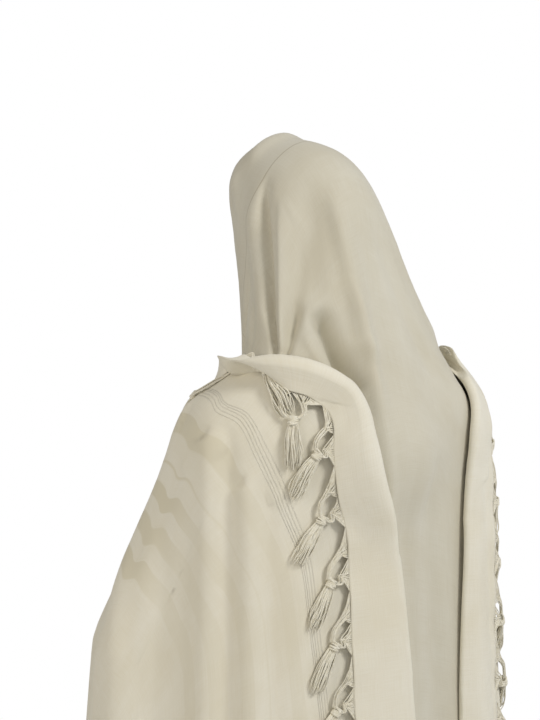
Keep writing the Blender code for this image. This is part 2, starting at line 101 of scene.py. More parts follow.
@dataclass(frozen=True)
class Curtain:
    """Cloth that hangs straight down from a round-ended cone, wider as it drops."""

    start: Point
    end: Point
    radii: tuple[float, float]
    flare: float


@dataclass(frozen=True)
class Fold:
    """One fold: a bow from start past via to end, its half width, and how far it stands out or in.

    Skew widens the side on the right, seen from outside as the fold runs down. Taper narrows its end.
    """

    start: Point
    via: Point
    end: Point
    width: float
    rise: float
    fade: tuple[float, float] = (0.3, 0.3)
    profile: Profile = Profile.SOFT
    skew: float = 0.0
    taper: float = 0.0


@dataclass(frozen=True)
class Section:
    """Points that the cloth passes at one distance along its width, from the edge over the forehead."""

    along: float
    points: tuple[Point, ...]


@dataclass(frozen=True)
class StripSection:
    """The strip turned back beside the fringe, and the radius of the roll it comes out of."""

    along: float
    width: float
    roll: float


# From the crown past temple, neck and shoulder to the fold at the hand
BODY_SECTIONS = (
    Section(0.00, ((0.0, -0.098, 0.004), (0.086, -0.072, -0.100), (0.084, -0.040, -0.240),
                   (0.125, -0.040, -0.335), (0.220, -0.060, -0.720))),
    Section(0.10, ((0.0, 0.005, 0.006), (0.096, 0.000, -0.100), (0.092, 0.000, -0.240),
                   (0.155, 0.005, -0.322), (0.248, -0.065, -0.730))),
    Section(0.20, ((0.0, 0.095, -0.030), (0.090, 0.070, -0.120), (0.100, 0.072, -0.265),
                   (0.175, 0.062, -0.330), (0.275, -0.070, -0.750))),
    Section(0.31, ((0.0, 0.140, -0.120), (0.080, 0.115, -0.190), (0.120, 0.110, -0.310),
                   (0.205, 0.085, -0.400), (0.300, -0.070, -0.785))),
    Section(0.45, ((0.0, 0.160, -0.260), (0.085, 0.148, -0.310), (0.160, 0.135, -0.390),
                   (0.250, 0.085, -0.500), (0.325, -0.060, -0.845))),
    Section(0.62, ((0.0, 0.185, -0.420), (0.095, 0.180, -0.455), (0.185, 0.155, -0.530),
                   (0.290, 0.085, -0.640), (0.340, -0.045, -0.930))),
    Section(0.90, ((0.0, 0.210, -0.700), (0.105, 0.205, -0.730), (0.205, 0.170, -0.800),
                   (0.310, 0.090, -0.900), (0.350, -0.020, -1.070))),
    Section(1.40, ((0.0, 0.245, -1.215), (0.115, 0.240, -1.220), (0.215, 0.190, -1.235),
                   (0.310, 0.100, -1.260), (0.365, 0.010, -1.280))),
)
# From the inner fold by the neck, over the slope of the shoulder, to the arm
LEFT_END_SECTIONS = (
    Section(0.00, ((0.100, -0.040, -0.580), (0.140, -0.045, -0.600), (0.185, -0.050, -0.660))),
    Section(0.17, ((0.112, -0.045, -0.430), (0.152, -0.040, -0.450), (0.215, -0.050, -0.560))),
    Section(0.31, ((0.142, 0.012, -0.330), (0.184, 0.010, -0.345), (0.238, -0.020, -0.460))),
    Section(0.39, ((0.140, 0.094, -0.318), (0.182, 0.085, -0.345), (0.250, 0.030, -0.470))),
    Section(0.48, ((0.082, 0.164, -0.338), (0.155, 0.145, -0.392), (0.262, 0.055, -0.540))),
    Section(0.62, ((0.044, 0.203, -0.455), (0.140, 0.190, -0.500), (0.280, 0.080, -0.660))),
    Section(0.90, ((0.014, 0.225, -0.690), (0.130, 0.210, -0.760), (0.290, 0.095, -0.880))),
    Section(1.40, ((0.012, 0.250, -1.190), (0.130, 0.240, -1.230), (0.290, 0.120, -1.250))),
)
RIGHT_END_SECTIONS = (
    Section(0.00, ((0.104, -0.040, -0.600), (0.142, -0.045, -0.615), (0.186, -0.050, -0.665))),
    Section(0.17, ((0.118, -0.040, -0.435), (0.156, -0.040, -0.455), (0.216, -0.050, -0.565))),
    Section(0.31, ((0.135, 0.020, -0.308), (0.185, 0.010, -0.345), (0.240, -0.020, -0.465))),
    Section(0.39, ((0.145, 0.095, -0.320), (0.190, 0.085, -0.355), (0.255, 0.030, -0.480))),
    Section(0.48, ((0.150, 0.145, -0.375), (0.195, 0.125, -0.415), (0.268, 0.055, -0.545))),
    Section(0.62, ((0.148, 0.180, -0.490), (0.205, 0.160, -0.535), (0.285, 0.080, -0.660))),
    Section(0.90, ((0.128, 0.210, -0.720), (0.205, 0.185, -0.780), (0.295, 0.095, -0.890))),
    Section(1.40, ((0.110, 0.240, -1.200), (0.200, 0.210, -1.225), (0.290, 0.120, -1.255))),
)
STRIP_SECTIONS = (
    StripSection(0.00, 0.060, 0.006),
    StripSection(0.31, 0.030, 0.0045),
    StripSection(0.39, 0.027, 0.014),
    StripSection(0.48, 0.033, 0.016),
    StripSection(0.62, 0.050, 0.012),
    StripSection(0.90, 0.070, 0.009),
    StripSection(1.40, 0.074, 0.008),
)
# Along the cloth's width: how far down the draped end the cords' middle lies, and the third satin bar's
STRIPE_PLACES = (
    (0.00, 0.060, 0.170), (0.20, 0.050, 0.150), (0.26, 0.046, 0.166), (0.32, 0.052, 0.187),
    (0.35, 0.056, 0.196), (0.38, 0.055, 0.205), (0.395, 0.056, 0.212), (0.41, 0.064, 0.222),
    (0.425, 0.082, 0.238), (0.44, 0.101, 0.253), (0.455, 0.117, 0.264), (0.47, 0.124, 0.266),
    (0.485, 0.129, 0.265), (0.50, 0.132, 0.262), (0.53, 0.132, 0.252), (0.56, 0.128, 0.241),
    (0.60, 0.125, 0.233), (0.69, 0.128, 0.222), (0.90, 0.130, 0.235), (1.40, 0.130, 0.260),
)

BODY_FOLDS = (
    # The left of the hood, as it shows: ridge, deep valley, pleat, then the broad grey hollow
    Fold((0.076, -0.010, -0.042), (0.108, 0.034, -0.157), (0.136, 0.100, -0.265), 0.014, 0.007, (0.3, 0.2),
         skew=-0.1),
    Fold((0.071, 0.005, -0.034), (0.106, 0.052, -0.156), (0.137, 0.119, -0.284), 0.009, -0.015, (0.25, 0.04),
         skew=0.45, taper=0.65),
    Fold((0.081, 0.048, -0.060), (0.102, 0.080, -0.167), (0.131, 0.125, -0.280), 0.011, 0.0085, (0.3, 0.05),
         skew=0.55, taper=0.6),
    Fold((0.080, 0.056, -0.070), (0.078, 0.075, -0.093), (0.075, 0.089, -0.112), 0.004, 0.0014, (0.3, 0.4),
         Profile.CREASE),
    Fold((0.072, 0.090, -0.107), (0.096, 0.107, -0.186), (0.127, 0.127, -0.265), 0.012, -0.006, (0.4, 0.15),
         skew=0.2, taper=0.3),
    Fold((0.100, 0.116, -0.200), (0.116, 0.123, -0.243), (0.130, 0.130, -0.280), 0.014, -0.011, (0.35, 0.05),
         taper=0.55),
    Fold((0.105, 0.135, -0.245), (0.101, 0.151, -0.271), (0.090, 0.166, -0.300), 0.007, 0.004, (0.3, 0.3)),
    Fold((0.090, 0.134, -0.216), (0.074, 0.154, -0.258), (0.058, 0.184, -0.340), 0.015, -0.030, (0.35, 0.1),
         skew=0.2, taper=0.3),
    Fold((0.043, 0.056, -0.024), (0.070, 0.107, -0.140), (0.091, 0.136, -0.229), 0.020, -0.006, (0.3, 0.3)),
    # The long ridge down the back, steep on its left
    Fold((0.030, 0.090, -0.045), (0.031, 0.134, -0.156), (0.025, 0.182, -0.302), 0.016, 0.008, (0.3, 0.1),
         skew=0.3),
    Fold((0.031, 0.140, -0.170), (0.028, 0.172, -0.265), (0.022, 0.205, -0.380), 0.013, 0.009, (0.3, 0.3)),
    Fold((0.030, 0.165, -0.250), (0.020, 0.217, -0.520), (-0.020, 0.245, -1.230), 0.016, 0.008, (0.12, 0.0),
         skew=-0.3),
    Fold((-0.006, 0.165, -0.300), (-0.020, 0.215, -0.560), (-0.050, 0.245, -1.230), 0.016, -0.003, (0.3, 0.0)),
    Fold((0.010, 0.117, -0.086), (-0.010, 0.143, -0.181), (-0.041, 0.165, -0.270), 0.018, -0.003, (0.3, 0.3)),
    # Under the band, in front of the first ridge
    Fold((0.107, 0.012, -0.158), (0.117, 0.012, -0.226), (0.117, 0.008, -0.290), 0.008, -0.005, (0.3, 0.1)),
    Fold((0.119, 0.043, -0.209), (0.131, 0.053, -0.249), (0.143, 0.063, -0.283), 0.008, -0.004, (0.3, 0.2)),
    # The band's peak over the crown, and the dip beside it
    Fold((-0.030, -0.048, -0.002), (0.026, -0.050, 0.000), (0.066, -0.050, -0.034), 0.016, 0.006, (0.3, 0.3)),
    Fold((0.070, -0.088, -0.030), (0.084, -0.060, -0.060), (0.092, -0.030, -0.100), 0.010, 0.004, (0.3, 0.3)),
    # Down the back
    Fold((-0.066, 0.190, -0.420), (-0.068, 0.200, -0.600), (-0.080, 0.245, -1.230), 0.018, -0.005, (0.3, 0.0)),
    Fold((-0.095, 0.170, -0.460), (-0.105, 0.190, -0.700), (-0.120, 0.235, -1.220), 0.016, 0.002, (0.3, 0.0)),
    # The right of the hood, like the left
    Fold((-0.020, 0.110, -0.050), (-0.055, 0.147, -0.210), (-0.100, 0.165, -0.330), 0.018, -0.006, (0.3, 0.2)),
    Fold((-0.060, 0.085, -0.055), (-0.098, 0.105, -0.190), (-0.128, 0.128, -0.290), 0.016, 0.006, (0.3, 0.2)),
    Fold((-0.082, 0.045, -0.045), (-0.108, 0.068, -0.160), (-0.136, 0.115, -0.275), 0.010, -0.010, (0.3, 0.15),
         skew=-0.35, taper=0.4),
    Fold((-0.086, 0.000, -0.060), (-0.110, 0.035, -0.160), (-0.138, 0.095, -0.270), 0.012, 0.005, (0.3, 0.2)),
)
END_FOLDS = (
    Fold((0.232, 0.044, -0.358), (0.252, -0.005, -0.480), (0.330, 0.000, -1.270), 0.018, 0.007, (0.3, 0.0)),
    Fold((0.248, 0.060, -0.420), (0.270, 0.045, -0.600), (0.315, 0.055, -1.270), 0.018, -0.004, (0.3, 0.0)),
    Fold((0.230, 0.100, -0.380), (0.236, 0.108, -0.550), (0.275, 0.130, -1.260), 0.020, 0.010, (0.3, 0.0)),
    Fold((0.223, 0.121, -0.401), (0.220, 0.132, -0.540), (0.245, 0.160, -1.260), 0.012, -0.005, (0.3, 0.0)),
    Fold((0.206, 0.142, -0.440), (0.202, 0.156, -0.590), (0.215, 0.185, -1.250), 0.018, 0.008, (0.3, 0.0)),
    Fold((0.181, 0.166, -0.462), (0.186, 0.170, -0.590), (0.180, 0.210, -1.240), 0.012, -0.005, (0.3, 0.0)),
    Fold((0.150, 0.190, -0.520), (0.150, 0.200, -0.700), (0.150, 0.230, -1.240), 0.018, 0.005, (0.3, 0.0)),
    Fold((0.100, 0.200, -0.620), (0.100, 0.215, -0.850), (0.095, 0.240, -1.230), 0.016, -0.002, (0.3, 0.0)),
    Fold((0.200, -0.035, -0.380), (0.240, -0.060, -0.520), (0.300, -0.060, -0.690), 0.018, 0.006, (0.2, 0.1)),
    Fold((0.285, -0.020, -0.600), (0.300, -0.030, -0.800), (0.345, -0.020, -1.150), 0.014, -0.004, (0.3, 0.1)),
)


def lengths(vectors: np.ndarray) -> np.ndarray:
    """The length of each row of an array of vectors."""
    return np.sqrt((vectors ** 2).sum(axis=-1))


def unit(vectors: np.ndarray) -> np.ndarray:
    """Each row of an array of vectors at length one."""
    return vectors / np.maximum(lengths(vectors), 1e-9)[..., None]


def smooth_step(values: np.ndarray, low: float, high: float) -> np.ndarray:
    """0 below low and 1 above high, with an even turn between them."""
    part = np.clip((np.asarray(values) - low) / (high - low), 0, 1)
    return part * part * (3 - 2 * part)


def spline(knots: Sequence[float], values: Sequence, at: np.ndarray) -> np.ndarray:
    """A smooth curve through values at knots.

    Args:
        knots: Where the values are known.
        values: A number or a point at each knot.
        at: The places where the curve is read.

    Returns:
        One row for each place.
    """
    knots = np.asarray(knots, float)
    values = np.asarray(values, float).reshape(len(knots), -1)
    steps = np.diff(knots)[:, None]
    rises = np.diff(values, axis=0) / steps
    inner = (rises[:-1] * steps[1:] + rises[1:] * steps[:-1]) / (steps[1:] + steps[:-1])
    tangents = np.vstack([2 * rises[0] - inner[0], inner, 2 * rises[-1] - inner[-1]])
    cell = np.clip(np.searchsorted(knots, at, side="right") - 1, 0, len(knots) - 2)
    span = (knots[cell + 1] - knots[cell])[:, None]
    part = (np.asarray(at, float) - knots[cell])[:, None] / span
    return (
        (2 * part ** 3 - 3 * part ** 2 + 1) * values[cell]
        + (part ** 3 - 2 * part ** 2 + part) * span * tangents[cell]
        + (3 * part ** 2 - 2 * part ** 3) * values[cell + 1]
        + (part ** 3 - part ** 2) * span * tangents[cell + 1]
    )


def section_net(sections: Sequence[Section], rows: np.ndarray, shares: np.ndarray) -> np.ndarray:
    """A grid of points through the sections.

    Args:
        sections: The points that the cloth passes.
        rows: Distances along the width of the cloth.
        shares: Places across it, from 0 at the first point to 1 at the last.

    Returns:
        Points by row and column.
    """
    knots = [section.along for section in sections]
    count = len(sections[0].points)
    lines = [spline(knots, [section.points[k] for section in sections], rows) for k in range(count)]
    places = np.linspace(0, 1, count)
    return np.array([spline(places, [line[row] for line in lines], shares) for row in range(len(rows))])


@dataclass(frozen=True)
class Figure:
    """The smooth form that the inner layer of cloth takes, the same on the left and the right."""

    head_centre: Point = (0.0, -0.006, -0.129)
    head_half: Point = (0.072, 0.115, 0.126)
    taut: tuple[Cone, ...] = (
        Cone((0.0, 0.0, -0.086), (0.0, -0.065, -0.066), (0.074, 0.074)),
        Cone((0.0, 0.007, -0.124), (0.0, 0.116, -0.417), (0.089, 0.110)),
        Cone((0.0, 0.026, -0.138), (0.116, 0.115, -0.365), (0.079, 0.063)),
        Cone((0.015, -0.014, -0.160), (0.088, 0.030, -0.392), (0.053, 0.036)),
    )
    curtains: tuple[Curtain, ...] = (
        Curtain((0.0, 0.075, -0.380), (0.150, 0.064, -0.405), (0.070, 0.064), 0.02),
        Curtain((0.150, 0.064, -0.405), (0.268, -0.018, -0.690), (0.068, 0.052), 0.06),
        Curtain((0.0, 0.095, -0.420), (0.105, 0.085, -0.440), (0.100, 0.090), 0.07),
    )
    blend: float = 0.05

    def _join(self, first: np.ndarray, second: np.ndarray) -> np.ndarray:
        """The lower of two distances, rounded where they are close."""
        mix = np.maximum(self.blend - np.abs(first - second), 0) / self.blend
        return np.minimum(first, second) - mix * mix * self.blend / 4

    @staticmethod
    def _beside_cone(points: np.ndarray, cone: Cone | Curtain) -> np.ndarray:
        """How far points lie outside a cone with round ends."""
        start, end = np.array(cone.start), np.array(cone.end)
        axis = end - start
        share = np.clip((points - start) @ axis / (axis @ axis), 0, 1)
        radius = cone.radii[0] + (cone.radii[1] - cone.radii[0]) * share
        return lengths(points - start - share[:, None] * axis) - radius

    def _beside_curtain(self, points: np.ndarray, curtain: Curtain) -> np.ndarray:
        """How far points lie outside cloth that hangs straight down from a round-ended cone.

        Args:
            points: The points, one a row.
            curtain: The cone, and how much wider the cloth grows as it drops.

        Returns:
            One distance a point, negative inside.
        """
        start, end = np.array(curtain.start), np.array(curtain.end)
        axis = end - start
        above = self._beside_cone(points, curtain)
        flat = points[:, :2] - start[:2]
        share = np.clip(flat @ axis[:2] / (axis[:2] @ axis[:2]), 0, 1)
        highest = np.clip((start[2] - points[:, 2]) / max(start[2] - end[2], 1e-6), 0, 1)
        share = np.minimum(share, highest)
        drop = start[2] + share * axis[2] - points[:, 2]
        radius = curtain.radii[0] + (curtain.radii[1] - curtain.radii[0]) * share
        radius = radius + curtain.flare * np.maximum(drop, 0)
        beside = lengths(flat - share[:, None] * axis[:2]) - radius
        return np.where(drop > 0, np.minimum(above, beside), above)

    def distance(self, points: np.ndarray) -> np.ndarray:
        """How far points lie outside the figure."""
        folded = np.column_stack([np.abs(points[:, 0]), points[:, 1], points[:, 2]])
        scaled = (folded - np.array(self.head_centre)) / np.array(self.head_half)
        found = (lengths(scaled) - 1) * min(self.head_half)
        for cone in self.taut:
            found = self._join(found, self._beside_cone(folded, cone))
        for curtain in self.curtains:
            found = self._join(found, self._beside_curtain(folded, curtain))
        return found

    def slope(self, points: np.ndarray, step: float = 0.0005) -> tuple[np.ndarray, np.ndarray]:
        """The distance outside the figure, and which way and how fast it grows.

        Args:
            points: The points, one a row.
            step: How far each axis is probed.

        Returns:
            The distances and the slopes.
        """
        here = self.distance(points)
        slope = np.empty_like(points)
        for axis in range(3):
            moved = points.copy()
            moved[:, axis] += step
            slope[:, axis] = (self.distance(moved) - here) / step
        return here, slope

    def settle(self, points: np.ndarray, level: float | np.ndarray, rounds: int = 8) -> np.ndarray:
        """Moves points straight onto the surface that lies a given level outside the figure.

        Args:
            points: The points, one a row.
            level: How far outside, for all or for each.
            rounds: How often the move is mended.

        Returns:
            The moved points.
        """
        points = points.copy()
        for _ in range(rounds):
            here, slope = self.slope(points)
            steep = np.maximum((slope ** 2).sum(axis=1), 0.25)
            points -= ((here - level) / steep)[:, None] * slope
        return points

    def outward(self, points: np.ndarray) -> np.ndarray:
        """The direction out of the figure at each point."""
        return unit(self.slope(points)[1])


@dataclass
class Drape:
    """How a layer lies: its own folds, and the small unevenness that all layers share."""

    figure: Figure
    folds: tuple[Fold, ...]
    ripple: float = 0.0011
    wrinkle: float = 0.00022
    evening: int = 30
    lines: list[np.ndarray] = field(init=False)
    sides: list[np.ndarray] = field(init=False)

    def __post_init__(self) -> None:
        """Lays each fold's line on the figure, with the direction across it."""
        self.lines = [self.figure.settle(self._bow(fold), 0.0) for fold in self.folds]
        self.sides = [
            unit(np.cross(self.figure.outward((line[:-1] + line[1:]) / 2), np.diff(line, axis=0)))
            for line in self.lines
        ]

    @staticmethod
    def _bow(fold: Fold, steps: int = 12) -> np.ndarray:
        """Points along a smooth bow from a fold's start, past its via, to its end."""
        share = np.linspace(0, 1, steps + 1)[:, None]
        start, via, end = np.array(fold.start), np.array(fold.via), np.array(fold.end)
        middle = 2 * via - (start + end) / 2
        return (1 - share) ** 2 * start + 2 * share * (1 - share) * middle + share ** 2 * end

    @staticmethod
    def _cross_section(fold: Fold, away: np.ndarray, reach: np.ndarray) -> np.ndarray:
        """The height of a fold, as a share of its rise.

        Args:
            fold: The fold.
            away: Signed distances from its line.
            reach: How far along the line they lie, from 0 to 1.

        Returns:
            One share a point.
        """
        part = np.abs(away) / (fold.width * (1 + fold.skew * np.sign(away)) * (1 - fold.taper * reach))
        if fold.profile is Profile.CREASE:
            return np.exp(-1.9 * (np.sqrt(part * part + 0.05) - 0.22))
        return np.exp(-part * part)

    def folds_lift(self, points: np.ndarray) -> np.ndarray:
        """How far the folds carry each point out from the plain form, or in."""
        lift = np.zeros(len(points))
        for fold, line, sides in zip(self.folds, self.lines, self.sides):
            low = line.min(axis=0) - 4 * fold.width
            high = line.max(axis=0) + 4 * fold.width
            inside = np.flatnonzero(((points > low) & (points < high)).all(axis=1))
            near = points[inside]
            nearest = np.full(len(near), np.inf)
            reach = np.zeros(len(near))
            signed = np.zeros(len(near))
            for number, (first, second) in enumerate(zip(line[:-1], line[1:])):
                axis = second - first
                share = np.clip((near - first) @ axis / (axis @ axis), 0, 1)
                offset = near - first - share[:, None] * axis
                away = lengths(offset)
                closer = away < nearest
                nearest = np.where(closer, away, nearest)
                signed = np.where(closer, np.copysign(away, offset @ sides[number]), signed)
                reach = np.where(closer, (number + share) / (len(line) - 1), reach)
            fade_in, fade_out = fold.fade
            strength = smooth_step(reach, 0, fade_in) if fade_in else 1.0
            strength = strength * (1 - smooth_step(reach, 1 - fade_out, 1) if fade_out else 1.0)
            lift[inside] += fold.rise * strength * self._cross_section(fold, signed, reach)
        return lift

    def ripples(self, points: np.ndarray) -> np.ndarray:
        """The small unevenness of hanging cloth: long soft ripples, and fine short wrinkles."""
        heights = np.empty(len(points))
        for index, (x, y, z) in enumerate(points):
            broad = noise.noise(Vector((x * 17, y * 17, z * 3.5)))
            middle = noise.noise(Vector((x * 41 + 5, y * 41, z * 11)))
            fine = noise.noise(Vector((x * 120, y * 120, z * 70 + 9)))
            heights[index] = self.ripple * (broad + 0.35 * middle) + self.wrinkle * fine
        return heights

    def lay(self, points: np.ndarray, level: float | np.ndarray, weight: float | np.ndarray = 1.0) -> np.ndarray:
        """Lays points on the figure at a level, carried by the folds.

        Args:
            points: The points, one a row.
            level: The layer's distance from the figure.
            weight: The share of the folds that each point takes.

        Returns:
            The laid points.
        """
        flat = self.figure.settle(points, 0.0)
        lift = self.folds_lift(flat) + self.ripples(flat)
        return self.figure.settle(flat, level + weight * lift)

    def lay_net(self, net: np.ndarray, level: float | np.ndarray, weight: float | np.ndarray = 1.0) -> np.ndarray:
        """The same for a net, with a level and a weight for each column.

        Args:
            net: Points by row and column.
            level: One distance, or one for each column.
            weight: One share, or one for each column.

        Returns:
            The laid net.
        """
        levels = np.broadcast_to(level, net.shape[:2]).reshape(-1)
        weights = np.broadcast_to(weight, net.shape[:2]).reshape(-1)
        return self.lay(net.reshape(-1, 3), levels, weights).reshape(net.shape)

    def beyond(self, edge: np.ndarray, inside: np.ndarray) -> np.ndarray:
        """The direction away from the cloth at each point of its edge, square to the edge.

        Args:
            edge: The points of the edge, in order.
            inside: Points of the cloth beside it.

        Returns:
            One direction a point.
        """
        slope = self.figure.outward(edge)
        along = unit(np.gradient(edge, axis=0))
        away = unit(np.cross(along, slope))
        away *= np.sign(((edge - inside) * away).sum(axis=1))[:, None]
        for _ in range(self.evening):
            away[1:-1] = unit(away[:-2] + 2 * away[1:-1] + away[2:])
        return away

    def bend(self, edge: np.ndarray, outward: np.ndarray, level: float, radius: np.ndarray, steps: int,
             weight: float, lead: float = 0.004) -> list[np.ndarray]:
        """Carries the cloth on past an edge, and round in a half circle to a layer above it.

        Args:
            edge: The points of the edge.
            outward: The direction away from the cloth at each.
            level: The lower layer's distance from the figure.
            radius: Half the distance between the layers, for each point.
            steps: How many columns the half circle takes.
            weight: The share of the folds that the bend takes.
            lead: How far the cloth runs on flat first.

        Returns:
            The columns, from the edge round to the layer above.
        """
        columns = [self.lay(edge + outward * SEAM_GAP, level, weight)]
        for turn in np.linspace(0, math.pi, steps + 1):
            reach = SEAM_GAP + lead + radius[:, None] * math.sin(turn)
            lift = level + radius * (1 - math.cos(turn))
            columns.append(self.lay(edge + outward * reach, lift, weight))
        return columns


def mirrored(net: np.ndarray) -> np.ndarray:
    """A net on the right side, with its columns the other way round so that it faces out."""
    return (net * MIRROR)[:, ::-1]


def net_normals(net: np.ndarray) -> np.ndarray:
    """The direction out of the cloth at each point of a net."""
    return unit(np.cross(np.gradient(net, axis=0), np.gradient(net, axis=1)))


def cloth_rows(stops: Sequence[tuple[float, int]]) -> np.ndarray:
    """Places along the cloth's width: an even share between each pair of stops."""
    places = [0.0]
    for end, steps in stops:
        start = places[-1]
        places += [start + (end - start) * (k + 1) / steps for k in range(steps)]
    return np.array(places)


def linear(code: str) -> tuple[float, float, float, float]:
    """A colour given as an sRGB hex code, made linear, with full alpha."""
    parts = [int(code[k:k + 2], 16) / 255 for k in (1, 3, 5)]
    return (*[v / 12.92 if v <= 0.04045 else ((v + 0.055) / 1.055) ** 2.4 for v in parts], 1.0)


class NodeTree:
    """A material's nodes, added one at a time from left to right."""

    def __init__(self, name: str) -> None:
        """An empty material with its Principled shader."""
        self.material = bpy.data.materials.new(name)
        self.material.use_nodes = True
        self.tree = self.material.node_tree
        self.shader = self.tree.nodes["Principled BSDF"]

    def add(self, kind: str, settings: dict | None = None, **sockets: object) -> bpy.types.Node:
        """Adds a node.

        Args:
            kind: The node's type, without ShaderNode in front.
            settings: Values for the node's own options.
            sockets: Values or sockets for its inputs, with _ for a space, or n0, n1 for a place.

        Returns:
            The node.
        """
        node = self.tree.nodes.new("ShaderNode" + kind)
        node.location = (220 * len(self.tree.nodes), 0)
        for key, value in (settings or {}).items():
            setattr(node, key, value)
        for key, value in sockets.items():
            self.feed(node, key, value)
        return node

    def feed(self, node: bpy.types.Node, key: str, value: object) -> None:
        """Sets one input of a node, or links it.

        Args:
            node: The node.
            key: The input's name with _ for a space, or n and its number.
            value: A number, colour, vector or another node's socket.
        """
        place = int(key[1:]) if key[0] == "n" and key[1:].isdigit() else key.replace("_", " ")
        socket = node.inputs[place]
        if isinstance(value, bpy.types.NodeSocket):
            self.tree.links.new(value, socket)
        else:
            socket.default_value = value

    def ramp(self, factor: bpy.types.NodeSocket, stops: Sequence[tuple[float, float]]) -> bpy.types.NodeSocket:
        """A grey ramp.

        Args:
            factor: What it reads.
            stops: Places and greys.

        Returns:
            The ramp's colour socket.
        """
        node = self.add("ValToRGB", n0=factor)
        elements = node.color_ramp.elements
        while len(elements) < len(stops):
            elements.new(0.5)
        for element, (place, grey) in zip(elements, stops):
            element.position = place
        for element, (place, grey) in zip(elements, stops):
            element.color = (grey, grey, grey, 1.0)
        return node.outputs[0]


